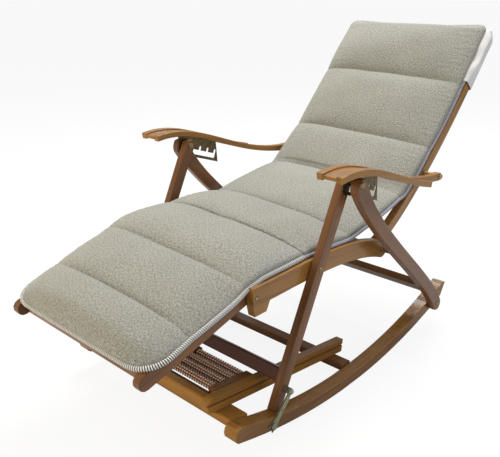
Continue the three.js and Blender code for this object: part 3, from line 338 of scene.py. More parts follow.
def bamboo_group():
    """Fibres along Y in glued strips, with a dark ring across each strip at every joint of the cane."""
    group, given, result = new_group(
        "Bamboo grain",
        {"Vector": "Vector", "Light": "Color", "Dark": "Color"},
        {"Color": "Color", "Roughness": "Float", "Height": "Float"},
    )
    place = given.outputs["Vector"]
    fibre = noise(group, stretched(group, place, (420, 9, 420)), scale=1.0, detail=4.0, roughness=0.6)
    broad = noise(group, place, scale=7.0)
    axes = add_node(group, "ShaderNodeSeparateXYZ", {0: place})
    across = calculate(group, "DIVIDE", axes.outputs[0], STRIP_WIDTH)
    upward = calculate(group, "DIVIDE", axes.outputs[2], STRIP_WIDTH)
    rows_apart = 17.0
    strip = weighted(group, calculate(group, "FLOOR", across), calculate(group, "FLOOR", upward), rows_apart)
    glue_line = ramp(group, calculate(group, "FRACT", across), high=0.07, start=1.0, end=0.0)
    tone = add_node(group, "ShaderNodeTexWhiteNoise", {"W": strip}, noise_dimensions="1D").outputs["Value"]
    along = weighted(group, calculate(group, "DIVIDE", axes.outputs[1], CANE_JOINT_PITCH), tone, 5.0)
    ring = ramp(group, middle_distance(group, along), low=0.004, high=0.02, start=1.0, end=0.0)
    share = calculate(group, "MULTIPLY", calculate(group, "SUBTRACT", fibre, 0.3), 1.1)
    share = weighted(group, share, tone, 0.32)
    share = weighted(group, share, calculate(group, "SUBTRACT", broad, 0.5), 0.7)
    share = weighted(group, share, glue_line, 0.45)
    share = weighted(group, share, ring, 0.12)
    share.node.use_clamp = True
    relief = calculate(group, "SUBTRACT", fibre, ring)
    feed(group, result, {
        "Color": blend_colours(group, share, given.outputs["Light"], given.outputs["Dark"]),
        "Roughness": ramp(group, fibre, low=0.3, high=0.7, start=0.24, end=0.42),
        "Height": weighted(group, relief, glue_line, -2.0),
    })


def metal_group():
    """Cloudy plating with fine scratches and darker spots of wear."""
    group, given, result = new_group(
        "Plated metal",
        {"Vector": "Vector", "Colour": "Color"},
        {"Color": "Color", "Roughness": "Float", "Height": "Float"},
    )
    place, plain = given.outputs["Vector"], given.outputs["Colour"]
    cloud = noise(group, place, scale=90.0, detail=4.0)
    dull = add_node(
        group, "ShaderNodeHueSaturation", {"Value": 0.55, "Saturation": 0.8, "Color": plain}
    ).outputs[0]
    feed(group, result, {
        "Color": blend_colours(group, ramp(group, cloud, low=0.4, high=0.7), plain, dull),
        "Roughness": ramp(group, cloud, low=0.3, high=0.7, start=0.22, end=0.45),
        "Height": noise(group, stretched(group, place, (600, 60, 600)), scale=1.0),
    })


def linen_group():
    """Crossing threads on a UV map in metres, each thread lighter or darker along its length."""
    group, given, result = new_group(
        "Heathered linen",
        {"UV": "Vector", "Light": "Color", "Dark": "Color"},
        {"Color": "Color", "Height": "Float"},
    )
    place = given.outputs["UV"]
    warp, weft = (
        add_node(
            group, "ShaderNodeTexWave", {"Vector": place, "Scale": 150.0, "Distortion": 1.2, "Detail": 1.0},
            wave_type="BANDS", bands_direction=direction,
        ).outputs["Fac"]
        for direction in "XY"
    )
    slubs = [
        noise(group, stretched(group, place, factors), scale=1.0, detail=3.0, roughness=0.7)
        for factors in ((190, 520, 1), (520, 190, 1))
    ]
    heather = ramp(group, calculate(group, "MULTIPLY", calculate(group, "ADD", *slubs), 0.5), low=0.40, high=0.60)
    share = weighted(group, calculate(group, "MULTIPLY", heather, 0.85), noise(group, place, scale=14.0), 0.16)
    weave = calculate(group, "MAXIMUM", warp, weft)
    flat = blend_colours(group, share, given.outputs["Dark"], given.outputs["Light"])
    shaded = add_node(
        group, "ShaderNodeHueSaturation", {"Color": flat, "Value": ramp(group, weave, start=0.86, end=1.05)}
    ).outputs[0]
    feed(group, result, {"Color": shaded, "Height": calculate(group, "ADD", weave, heather)})


def object_coordinates(tree, turn=(0.0, 0.0, 0.0)):
    """Object coordinates, turned so that a pattern follows the piece."""
    place = add_node(tree, "ShaderNodeTexCoord").outputs["Object"]
    return add_node(tree, "ShaderNodeMapping", {"Vector": place, "Rotation": turn}).outputs[0]


def surface_coordinates(tree):
    """The piece's own UV map."""
    return add_node(tree, "ShaderNodeUVMap", uv_map="UVMap").outputs[0]


def patterned(tree, group, values):
    """A shader group placed in a material. A plain colour gets an alpha of 1."""
    values = {name: value if isinstance(value, bpy.types.NodeSocket) else (*value, 1) for name, value in values.items()}
    return add_node(tree, "ShaderNodeGroup", values, node_tree=bpy.data.node_groups[group]).outputs


def bumped(tree, height, strength, depth, edge_radius=None):
    """Normals bumped by a height, over edges rounded by a small radius if one is given."""
    values = {"Strength": strength, "Distance": depth, "Height": height}
    if edge_radius is not None:
        values["Normal"] = add_node(tree, "ShaderNodeBevel", {"Radius": edge_radius}, samples=4).outputs[0]
    return add_node(tree, "ShaderNodeBump", values).outputs[0]


def bamboo_material(name, light, dark, angle, coat=0.35, coat_roughness=0.10):
    """Lacquered bamboo whose fibres run at an angle above +Y, or along X."""
    material, tree, shader = new_material(name)
    turn = (0.0, 0.0, -math.pi / 2) if angle is None else (-angle, 0.0, 0.0)
    grain = patterned(
        tree, "Bamboo grain", {"Vector": object_coordinates(tree, turn), "Light": light, "Dark": dark}
    )
    feed(tree, shader, {
        "Base Color": grain["Color"], "Roughness": grain["Roughness"],
        "Normal": bumped(tree, grain["Height"], strength=0.5, depth=0.0003, edge_radius=0.0022),
        "Specular IOR Level": 0.3, "Coat Weight": coat, "Coat Roughness": coat_roughness,
    })
    return material


def roller_material(colours):
    """Glossy dark bamboo with a painted highlight: pale glints painted where the mesh's crest attribute says."""
    material = bamboo_material(
        "Bamboo rollers", colours.roller_light, colours.roller_dark, None, coat=1.0, coat_roughness=0.06
    )
    tree = material.node_tree
    base = tree.nodes["Principled BSDF"].inputs["Base Color"]
    # The crest attribute marks where the pale glints are painted: a painted highlight
    crest = add_node(tree, "ShaderNodeAttribute", attribute_name="crest").outputs["Fac"]
    painted_glint = blend_colours(tree, crest, base.links[0].from_socket, (*colours.roller_glint, 1))
    tree.links.new(painted_glint, base)
    return material


def metal_material(name, plating):
    """Plated metal."""
    material, tree, shader = new_material(name)
    plate = patterned(tree, "Plated metal", {"Vector": object_coordinates(tree), "Colour": plating})
    feed(tree, shader, {
        "Base Color": plate["Color"], "Roughness": plate["Roughness"], "Metallic": 1.0,
        "Normal": bumped(tree, plate["Height"], strength=0.5, depth=0.0001, edge_radius=0.0006),
    })
    return material


def linen_material(name, light, dark):
    """Woven linen on the piece's UV map."""
    material, tree, shader = new_material(name)
    cloth = patterned(tree, "Heathered linen", {"UV": surface_coordinates(tree), "Light": light, "Dark": dark})
    feed(tree, shader, {
        "Base Color": cloth["Color"], "Roughness": 0.92, "Sheen Weight": 0.25, "Sheen Roughness": 0.5,
        "Normal": bumped(tree, cloth["Height"], strength=0.45, depth=0.0006),
    })
    return material


def edging_material(name, light, dark, pitch):
    """Overcast thread round an edging: light wraps with dark gaps along the tube's UV length."""
    material, tree, shader = new_material(name)
    axes = add_node(tree, "ShaderNodeSeparateXYZ", {0: surface_coordinates(tree)})
    slant = calculate(tree, "ADD", calculate(tree, "DIVIDE", axes.outputs[0], pitch), axes.outputs[1])
    wave = middle_distance(tree, slant)
    feed(tree, shader, {
        "Base Color": blend_colours(tree, ramp(tree, wave, low=0.16, high=0.28), (*dark, 1), (*light, 1)),
        "Normal": bumped(tree, wave, strength=0.8, depth=0.0012),
        "Roughness": 0.75,
    })
    return material


def thread_material(plain):
    """Twisted quilting thread, up to three times as light as its colour."""
    material, tree, shader = new_material("Quilting thread")
    twist = noise(tree, object_coordinates(tree), scale=1400.0)
    light = tuple(3 * part for part in plain)
    feed(tree, shader, {"Base Color": blend_colours(tree, twist, (*plain, 1), (*light, 1)), "Roughness": 0.8})
    return material


def cotton_material():
    """Thin white cotton: a fine weave whose threads differ a little in tone."""
    material, tree, shader = new_material("White cotton")
    place = object_coordinates(tree)
    weave = noise(tree, place, scale=900.0)
    share = calculate(tree, "MULTIPLY", calculate(tree, "ADD", weave, noise(tree, place, scale=30.0, detail=3.0)), 0.5)
    feed(tree, shader, {
        "Base Color": blend_colours(tree, share, COTTON_SHADE, COTTON_LIGHT),
        "Normal": bumped(tree, weave, strength=0.4, depth=0.0006),
        "Roughness": 0.85,
    })
    return material


# Mesh helpers

def new_piece(name, points, faces, material, uv=None, smooth=True):
    """A mesh object from points and faces, as an array or lists. uv has one row for each corner of each face."""
    mesh = bpy.data.meshes.new(name)
    faces = faces if isinstance(faces, list) else faces.tolist()
    mesh.from_pydata(points.reshape(-1, 3).tolist(), [], faces)
    mesh.polygons.foreach_set("use_smooth", np.full(len(faces), smooth))
    if uv is not None:
        mesh.uv_layers.new(name="UVMap").data.foreach_set("uv", uv.astype(np.float32).ravel())
    mesh.materials.append(material)
    mesh.update()
    piece = bpy.data.objects.new(name, mesh)
    bpy.context.scene.collection.objects.link(piece)
    return piece


def even_turns(count):
    """Turns at even steps round a ring."""
    return np.arange(count) * TURN / count


def rings_about(place, x, radius, turn):
    """Rings of points about a line along X through (y, z)."""
    return np.stack([x[:, None] + 0 * turn, place[0] + radius * np.cos(turn), place[1] + radius * np.sin(turn)], -1)


def grid_faces(rows, columns):
    """Quads over a grid of points whose columns close into a ring."""
    row = np.arange(rows - 1)[:, None]
    column = np.arange(columns)[None, :]
    after = (column + 1) % columns
    below = row + 1
    quads = np.stack(
        [row * columns + column, row * columns + after, below * columns + after, below * columns + column], -1
    )
    return quads.reshape(-1, 4)


def capped(rings, flip):
    """A tube of rings, each end closed by a fan of triangles about the end ring's middle."""
    rows, columns = rings.shape[:2]
    points = rings.reshape(-1, 3)
    count = len(points)
    column = np.arange(columns)
    after = (column + 1) % columns
    start = count - columns
    head = np.stack([after, column, np.full(columns, count)], -1)
    tail = np.stack([start + column, start + after, np.full(columns, count + 1)], -1)
    faces = [*grid_faces(rows, columns).tolist(), *head.tolist(), *tail.tolist()]
    if flip:
        faces = [face[::-1] for face in faces]
    return np.vstack([points, rings[0].mean(0), rings[-1].mean(0)]), faces


def blank_uv(faces):
    """A UV row of zeros for each corner, for a piece whose pattern follows object coordinates."""
    return np.zeros((sum(len(face) for face in faces), 2))


def flipped_uv(first, last, low, high, swapped):
    """Corner UVs of a flipped, capped tube. Its quads go from first to last round a ring, and from low to
    high along the tube. Swapped puts the length first. The caps get zeros.
    """
    columns = first.shape[-1]
    first, last, low, high = np.broadcast_arrays(first, last, low, high)
    around, along = np.stack([first, last, last, first], -1), np.stack([low, low, high, high], -1)
    pair = (along, around) if swapped else (around, along)
    quads = np.stack(pair, -1).reshape(-1, 4, 2)[:, ::-1]
    return np.vstack([quads.reshape(-1, 2), np.zeros((2 * columns * 3, 2))])


def tube(name, path, radius, material, sides=10):
    """A round tube along a path, with a UV map of its length in metres and its turn in shares."""
    ahead = unit(np.gradient(path, axis=0))
    side = unit(np.cross(ahead, (0.0, 0.0, 1.0)))
    up = np.cross(side, ahead)
    turn = even_turns(sides)
    ring = side[:, None, :] * np.cos(turn)[None, :, None] + up[:, None, :] * np.sin(turn)[None, :, None]
    points, faces = capped(path[:, None, :] + radius * ring, flip=True)
    length = distances(path)[:, None]
    column = np.arange(sides)[None, :]
    uv = flipped_uv(column / sides, (column + 1) / sides, length[:-1], length[1:], swapped=True)
    return new_piece(name, points, faces, material, uv)


def lathe(name, profile, place, side, material, sides=32):
    """A closed profile of (x, radius) turned about a line along X through (y, z)."""
    rings = rings_about(place, side * profile[:, 0], profile[:, 1][:, None], even_turns(sides))
    faces = grid_faces(len(profile), sides)[:, ::side]
    return new_piece(name, rings, faces, material)


# Curves and paths in the side view

def unit(vectors):
    """Each row scaled to a length of 1."""
    return vectors / np.linalg.norm(vectors, axis=1, keepdims=True)


def distances(path):
    """How far along the path each of its points lies."""
    return np.concatenate([[0.0], np.cumsum(np.linalg.norm(np.diff(path, axis=0), axis=1))])


def bezier_points(corners, count):
    """Places on a cubic curve: each corner weighted by its share."""
    t = np.linspace(0, 1, count)[:, None]
    weights = np.hstack([(1 - t) ** 3, 3 * (1 - t) ** 2 * t, 3 * (1 - t) * t**2, t**3])
    return weights @ corners


def turned_left(directions):
    """Directions in the side view, turned by a quarter to their upper side."""
    return np.stack([-directions[:, 1], directions[:, 0]], -1)


def left_normals(path):
    """Unit normals on the upper side of a path in the side view."""
    return turned_left(unit(np.gradient(path, axis=0)))


def at_length(places, length, rows):
    """The rows of (y, z) at places along the length."""
    return np.stack([np.interp(places, length, rows[:, axis]) for axis in (0, 1)], -1)


def evenly(path, step):
    """The same path with points at even steps."""
    length = distances(path)
    return at_length(np.linspace(0, length[-1], int(length[-1] / step) + 1), length, path)


def softened(path, spread):
    """The same path averaged over a window, so that its corners turn into arcs. Its ends stay."""
    window = np.hanning(2 * spread + 3)[1:-1]
    window /= window.sum()
    first = 2 * path[0] - path[spread:0:-1]
    last = 2 * path[-1] - path[-2:-spread - 2:-1]
    longer = np.vstack([first, path, last])
    return np.stack([np.convolve(longer[:, axis], window, "valid") for axis in (0, 1)], -1)


def wave_noise(first, second, pitch, seed, waves=9, stretches=(0.6, 1.6)):
    """Smooth noise from -1 to 1: a sum of slanted cosine waves with fixed random turns and phases."""
    rng = np.random.default_rng(seed)
    total = 0.0
    for _ in range(waves):
        turn, phase = rng.uniform(0, TURN, 2)
        stretch = rng.uniform(*stretches)
        total = total + np.cos((first * math.cos(turn) + second * math.sin(turn)) * TURN * stretch / pitch + phase)
    return total / math.sqrt(waves * 2.0)


def signed_power(value, power):
    """A power of a value's size, with the value's sign."""
    return np.sign(value) * np.abs(value) ** power


def smooth_step(value, low, high):
    """Rises from 0 at low to 1 at high, with level ends: 3 share ** 2 - 2 share ** 3."""
    share = np.clip((value - low) / (high - low), 0, 1)
    return share**2 * (3 - 2 * share)


# The cushion's form

def cushion_path():
    """Where the cushion's underside lies in the side view: leg rest, seat and back faces joined by soft bends."""
    reach = np.linspace(*REST_REACH, 60)[:, None]
    down = -np.array([math.cos(REST_ANGLE), math.sin(REST_ANGLE)])
    over = np.array([-math.sin(REST_ANGLE), math.cos(REST_ANGLE)])
    rest = REST_HINGE + down * reach + over * (REST_FACE + PAD_GAP)
    seat = bezier_points(SEAT_CURVE, 200)
    seat = seat + left_normals(seat) * (SEAT_FACE + PAD_GAP)
    seat = seat[(seat[:, 0] > SEAT_START) & (seat[:, 0] < CREASE[0])]
    back = bezier_points(BACK_CURVE, 300)
    back = back + left_normals(back) * (BACK_FACE + PAD_GAP)
    ahead = back[-1] - back[-2]
    beyond = back[-1] + ahead / np.linalg.norm(ahead) * np.linspace(*PAST_RAILS, 10)[:, None]
    back = np.vstack([back[back[:, 0] > CREASE[1]], beyond])
    return softened(evenly(np.vstack([rest, seat, back]), PATH_STEP), PATH_SOFTENING)


def ring_shares(turn):
    """Shares across and up on a ring: powers of |cos| and |sin|, other ones above than below."""
    above = np.sin(turn) > 0
    across_power, lift_power = (np.where(above, *powers) for powers in zip(UPPER_POWERS, LOWER_POWERS))
    return signed_power(np.cos(turn), across_power), signed_power(np.sin(turn), lift_power)


def ring_turns(half_width, half_height, columns, samples=8001):
    """The turns at which a ring's points lie at even distances, and its girth."""
    dense = np.linspace(0, TURN, samples)
    across, lift = ring_shares(dense)
    length = distances(np.stack([across * half_width, lift * half_height], -1))
    return np.interp(np.arange(columns) * length[-1] / columns, length, dense), length[-1]


def rim_droop(path):
    """How far the rim hangs below the path at each place: fully on the leg rest, not at all on the seat."""
    return RIM_DROOP * (1 - smooth_step(path[:, 0], REST_HINGE[0] - 0.06, REST_HINGE[0] - 0.01))


def edge_reach(path):
    """The cushion's middle along X and its half width at each place."""
    plus, minus = (
        np.interp(path[:, 0], FLOOR_POINT[0] + EDGE_REACH[:, 0], EDGE_REACH[:, column]) for column in (1, 2)
    )
    return (plus - minus) / 2, (plus + minus) / 2


def far_fullness(x):
    """How much fuller the cushion is at a place along X."""
    return FAR_FULLNESS * np.clip((FULL_FROM - x) / FULL_SPAN, 0, 1)


def wrinkles(across, x, s, swell):
    """Puckers that grow towards the channels, folds at the sides, and a slow sway over all."""
    pucker = wave_noise(x, s * 0.12, pitch=0.021, seed=3) * (0.25 + (1 - swell)[:, None]) * 0.7
    side_folds = wave_noise(x * 0.2, s, pitch=0.016, seed=5) * (np.abs(across) ** 6)[None, :] * 1.3
    sway = wave_noise(x, s, pitch=0.19, seed=11) * 1.1
    return pucker + side_folds + sway


def cushion_surface(sizes, path, length, seams, first, last):
    """One quilted part of the cushion between two places along the path, and its half width there.

    A row is a closed ring with a flat underside, rounded sides and a crowned top. Each panel swells as
    a power of sin(pi * share) between its channels. The ends round off as a quarter of a circle.
    """
    length, total = length[first:last + 1], length[-1]
    base, up = path[first:last + 1], left_normals(path)[first:last + 1]
    droop = rim_droop(path)[first:last + 1]
    bounds = np.concatenate([[0.0], seams, [total]])
    panel = np.clip(np.searchsorted(bounds, length, side="right") - 1, 0, len(bounds) - 2)
    share = (length - bounds[panel]) / (bounds[panel + 1] - bounds[panel])
    swell = np.sin(np.pi * np.clip(share, 0, 1)) ** SWELL_POWER

    from_end = np.minimum(length, total - length)
    at_feet = length < total / 2
    end_share = np.clip(from_end / np.where(at_feet, *END_REACH), 0, 1)
    end_round = np.sqrt(np.clip(1 - (1 - end_share) ** 2, 0.003, 1))[:, None]
    radius = np.where(at_feet, sizes.corner_radius, sizes.top_corner_radius)
    corner = radius - np.sqrt(radius**2 - np.clip(radius - from_end, 0, None) ** 2)
    middle, reach = (values[first:last + 1] for values in edge_reach(path))
    half_width = reach - corner - SEAM_PULL * (1 - swell) * (from_end > 0.03)

    turn, girth = ring_turns(sizes.pad_width / 2, sizes.edge_height / 2, RING_COLUMNS)
    across, lift = ring_shares(turn)
    x = half_width[:, None] * across[None, :] + middle[:, None]
    s = length[:, None] + 0 * x
    panel_height = (sizes.pad_height - sizes.channel_depth) + sizes.channel_depth * swell
    edge_share = CHANNEL_EDGE_SHARE + (1 - CHANNEL_EDGE_SHARE) * swell
    edge_height = (sizes.edge_height - FRONT_THINNER * droop) * edge_share
    crown = 1 - np.abs(across) ** 4
    top = edge_height[:, None] + (panel_height - edge_height)[:, None] * crown[None, :]
    above = np.clip(lift, 0, 1)[None, :] * sizes.wrinkle_height
    top = top + above * wrinkles(across, x, s, swell) * (0.3 + 0.7 * end_round)
    edge = 0.5 * edge_height[:, None]
    far = far_fullness(x) * smooth_step(from_end, 0.01, 0.15)[:, None]
    rise = np.where(lift > 0, edge + lift * (top - edge + far), edge * (1 + lift))
    rise = rise * end_round + (1 - end_round) * edge * 0.9
    rise = rise - droop[:, None] * (np.abs(across) ** 14)[None, :]
    ear = np.abs(across) ** 10 - 0.4 * (1 - across**4)
    ear = EAR_LENGTH * smooth_step(length, total - EAR_REACH, total)[:, None] * ear[None, :]
    y = base[:, :1] + up[:, :1] * rise + up[:, 1:] * ear
    z = base[:, 1:] + up[:, 1:] * rise - up[:, :1] * ear
    points, faces = capped(np.stack([x, y, z], -1), flip=True)
    around = np.linspace(0, girth, RING_COLUMNS + 1)[None, :]
    uv = flipped_uv(around[:, :-1], around[:, 1:], length[:-1, None], length[1:, None], swapped=False)
    return points, faces, uv, half_width


def bend_with_chair(piece, front):
    """Bakes the piece's transform into its mesh, the same way for the front half and the rear half."""
    if front:
        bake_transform(piece)
    else:
        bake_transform(piece)


class CHAIR_OT_finishes(bpy.types.Operator):
    """Builds the shader groups and finishes the bamboo and metal pieces of the frame"""

    bl_idname = "chair.finishes"
    bl_label = "Frame finishes"

    def execute(self, context):
        colours = context.scene.chair_colours
        bamboo_group()
        metal_group()
        linen_group()
        zinc = metal_material("Yellow zinc", colours.zinc)
        brass = metal_material("Aged brass", colours.brass)
        bronze = metal_material("Dark bronze", colours.bronze)
        for name, node in NODES.items():
            if name.startswith("notch_plate"):
                finish = bronze
            elif name.startswith(ZINC_PIECES) or name.endswith("hinge_rod"):
                finish = zinc
            elif name.startswith(BRASS_PIECES):
                finish = brass
            else:
                finish = self.bamboo(name, colours)
            if finish is not None:
                node.data.materials.clear()
                node.data.materials.append(finish)
        return {"FINISHED"}

    def bamboo(self, name, colours):
        """The bamboo finish for a node, made once for each kind of piece."""
        kind = max((kind for kind in GRAIN if name.startswith(kind)), key=len, default=None)
        if kind is None:
            return None
        label = "Bamboo " + kind.replace("_", " ")
        if label in bpy.data.materials:
            return bpy.data.materials[label]
        light, dark = colours.bamboo_light, colours.bamboo_dark
        if kind in DARK_PIECES:
            light, dark = colours.stretcher_light, colours.stretcher_dark
        elif kind in GOLD_PIECES:
            light, dark = colours.gold_light, colours.gold_dark
        return bamboo_material(label, light, dark, GRAIN[kind])


class CHAIR_OT_cushion(bpy.types.Operator):
    """Makes the quilted cushion in two halves, with its edging, quilting thread and pocket"""

    bl_idname = "chair.cushion"
    bl_label = "Quilted cushion"

    def execute(self, context):
        sizes = context.scene.chair_sizes
        colours = context.scene.chair_colours
        linen = linen_material("Heathered linen", colours.linen_light, colours.linen_dark)
        edgings = {half: edging_material(*looks) for half, looks in EDGING_LOOKS.items()}
        thread = thread_material(colours.thread)
        path = cushion_path()
        step = np.linalg.norm(path[1] - path[0])
        length = np.arange(len(path)) * step
        seams = np.interp(SEAM_PLACES, path[:, 0], length)
        split = int(round(seams[SPLIT_SEAM] / step))
        seams[SPLIT_SEAM] = length[split]
        halves = {"front": (0, split), "rear": (split, len(path) - 1)}
        replaced = {"front": ("cushion_leg_rest", "cushion_seat"), "rear": ("cushion_back",)}
        for half, (first, last) in halves.items():
            points, faces, uv, half_width = cushion_surface(sizes, path, length, seams, first, last)
            piece = new_piece(f"cushion_{half}_half", points, faces, linen, uv)
            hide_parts(*replaced[half])
            bend_with_chair(piece, half == "front")
            self.edging(sizes, path, half, (first, last), half_width, edgings[half])
            self.stitches(sizes, path, half, (first, last), length, seams, thread)
        self.pocket(sizes, path, length, seams)
        return {"FINISHED"}

    def pocket(self, sizes, path, length, seams):
        """A white cloth pocket on the cushion's back, pulled over the top of the back frame.

        Rows run down the inner face, round the hem and up the outer face. A ring is a power of |cos| across
        and of |sin| deep, and both ends close over the rails' ends.
        """
        across_power, deep_power, columns = 0.14, 0.2, 160
        middle, half_depth, half_width = -0.0135, 0.0265, 0.2445
        past_seam, fold_height, flare_width, close_reach, close_lift = 6, 0.0022, 0.010, 0.020, 0.020
        outer = np.arange(int(np.searchsorted(length, seams[-1])) + past_seam, len(path) - 2)
        inner = outer[:-1][::-1]
        span = np.concatenate([inner, outer])
        skin = np.concatenate([np.full(len(inner), sizes.pocket_thickness), np.zeros(len(outer))])[:, None]
        from_end = (length[outer[-1]] - length[span])[:, None]
        close = np.sqrt(np.clip(1 - (1 - from_end / close_reach).clip(0, 1) ** 2, 0.02, 1))
        turn = even_turns(columns)
        across, deep = signed_power(np.cos(turn), across_power), signed_power(np.sin(turn), deep_power)
        s = length[span][:, None] + 0 * turn
        folds = fold_height * wave_noise(across[None, :] * 0.25, s * 0.5, pitch=0.05, seed=21) * np.abs(deep)[None, :]
        flare = flare_width * smooth_step(s, s.min(), s.min() + 0.07) * smooth_step(-s, -s.max(), -s.max() + 0.03)
        flare = flare * smooth_step(deep[None, :], -0.9, 0.6)
        x = across[None, :] * (half_width - skin + np.where(np.abs(across) > 0.9, flare, 0.0))
        rise = middle + close_lift * (1 - close) + (deep[None, :] * (half_depth - skin) + folds) * close
        base, up = path[span], left_normals(path)[span]
        rings = np.stack([x, base[:, :1] + up[:, :1] * rise, base[:, 1:] + up[:, 1:] * rise], -1)
        points, faces = capped(rings, flip=True)
        piece = new_piece("cushion_back_pocket", points, faces, cotton_material(), blank_uv(faces))
        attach(piece, "back")

    def edging(self, sizes, path, half, rows, half_width, material):
        """A tube round the half's three free sides, at the foot of the cushion's edge."""
        span = np.arange(rows[0], rows[1] + 1)
        normal = left_normals(path)[span]
        radius = sizes.overcast_radius if half == "front" else sizes.piping_radius
        droop = rim_droop(path)[span]
        base = path[span] + normal * (radius - EDGING_SINK - 0.4 * droop)[:, None]
        sideways = half_width + 0.25 * radius + 0.6 * droop
        shift = edge_reach(path)[0][span]
        plus = np.column_stack([shift + sideways, base])
        minus = np.column_stack([shift - sideways, base])
        end = 0 if half == "front" else -1
        across = shift[end] + np.linspace(1, -1, 60)[1:-1] * sideways[end]
        front = np.column_stack([across, np.tile(base[end], (len(across), 1))])
        loop = np.vstack([plus[::-1], front, minus]) if half == "front" else np.vstack([plus, front, minus[::-1]])
        piece = tube(f"cushion_{half}_edging", loop, radius, material)
        bend_with_chair(piece, half == "front")

    def stitches(self, sizes, path, half, rows, length, seams, material):
        """Rows of short stitches in the bottoms of the channels: each is a stretched octahedral bead."""
        normal = left_normals(path)
        inside = [seam for seam in seams if length[rows[0]] - 1e-4 <= seam <= length[rows[1]] - 0.01]
        row_width, spacing, last_share, above_cloth = 0.5, 1.12, 0.995, 0.0004
        share = np.linspace(-last_share, last_share, int(row_width / (sizes.stitch_length * spacing)))
        crown = 1 - share**4
        lift = crown ** (UPPER_POWERS[1] / 2)
        middle, reach = edge_reach(path)
        thinner = FRONT_THINNER * rim_droop(path)
        depth = sizes.pad_height - sizes.channel_depth
        centres = []
        for seam in inside:
            base, up = at_length(seam, length, path), at_length(seam, length, normal)
            edge = (sizes.edge_height - np.interp(seam, length, thinner)) * CHANNEL_EDGE_SHARE
            top = edge + (depth - edge) * crown
            x = (np.interp(seam, length, reach) - SEAM_PULL) * share + np.interp(seam, length, middle)
            rise = edge / 2 + lift * (top - edge / 2 + far_fullness(x)) + above_cloth
            centres.append(np.column_stack([x, base + up * rise[:, None]]))
        centres = np.vstack(centres)
        shape = np.array([(1, 0, 0), (-1, 0, 0), (0, 1, 0), (0, -1, 0), (0, 0, 1), (0, 0, -1)], float)
        shape *= (sizes.stitch_length / 2, sizes.thread_radius, sizes.thread_radius)
        corners = np.array(
            [(0, 2, 4), (2, 1, 4), (1, 3, 4), (3, 0, 4), (2, 0, 5), (1, 2, 5), (3, 1, 5), (0, 3, 5)]
        )
        points = centres[:, None, :] + shape[None, :, :]
        faces = (np.arange(len(centres))[:, None, None] * len(shape) + corners[None, :, :]).reshape(-1, 3)
        piece = new_piece(f"cushion_{half}_stitches", points, faces, material)
        bend_with_chair(piece, half == "front")


class CHAIR_OT_rollers(bpy.types.Operator):
    """Makes the ribbed wooden foot rollers, two to a spindle"""

    bl_idname = "chair.rollers"
    bl_label = "Foot rollers"

    def execute(self, context):
        """Ribs rise as a power of |sin| along the roller, and each is cut into knobs by a cosine round it."""
        sizes = context.scene.chair_sizes
        wood = roller_material(context.scene.chair_colours)
        spindle_radius, spindle_end = 0.005, 0.1857
        start, end = 0.014, 0.1657
        steps, columns, knobs, rib_depth, rib_power = 260, 48, 8, 0.0040, 0.8
        x = np.concatenate([
            [-spindle_end, -end], np.linspace(-end, -start, steps), [-start, start],
            np.linspace(start, end, steps), [end, spindle_end],
        ])
        ribs, bare = np.full(steps, True), [False, False]
        ribbed = np.concatenate([bare, ribs, bare, ribs, bare])[:, None]
        turn = even_turns(columns)
        wave = np.cos(knobs * turn[None, :])
        rib = np.abs(np.sin(np.pi * (np.abs(x) - start) / sizes.roller_rib_pitch))[:, None]
        crest = sizes.roller_radius - rib_depth + rib_depth * rib**rib_power * (0.6 + 0.4 * wave)
        radius = np.where(ribbed, crest, spindle_radius)
        # Painted highlight: pale glints on the tops of the ribs' knobs, stored in the crest attribute
        painted_glint = ribbed * smooth_step(rib * (0.5 + 0.5 * wave), 0.30, 0.65)
        for index in range(1, 5):
            node = f"foot_roller_{index}"
            low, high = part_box(node)
            place = ((low[1] + high[1]) / 2, (low[2] + high[2]) / 2)
            points, faces = capped(rings_about(place, x, radius, turn), flip=False)
            piece = new_piece(f"ribbed_roller_{index}", points, faces, wood, blank_uv(faces))
            mask = piece.data.attributes.new("crest", "FLOAT", "POINT")
            mask.data.foreach_set("value", np.append(painted_glint.ravel(), [0.0, 0.0]))
            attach(piece, f"roller_{index}")
            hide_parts(node)
        return {"FINISHED"}


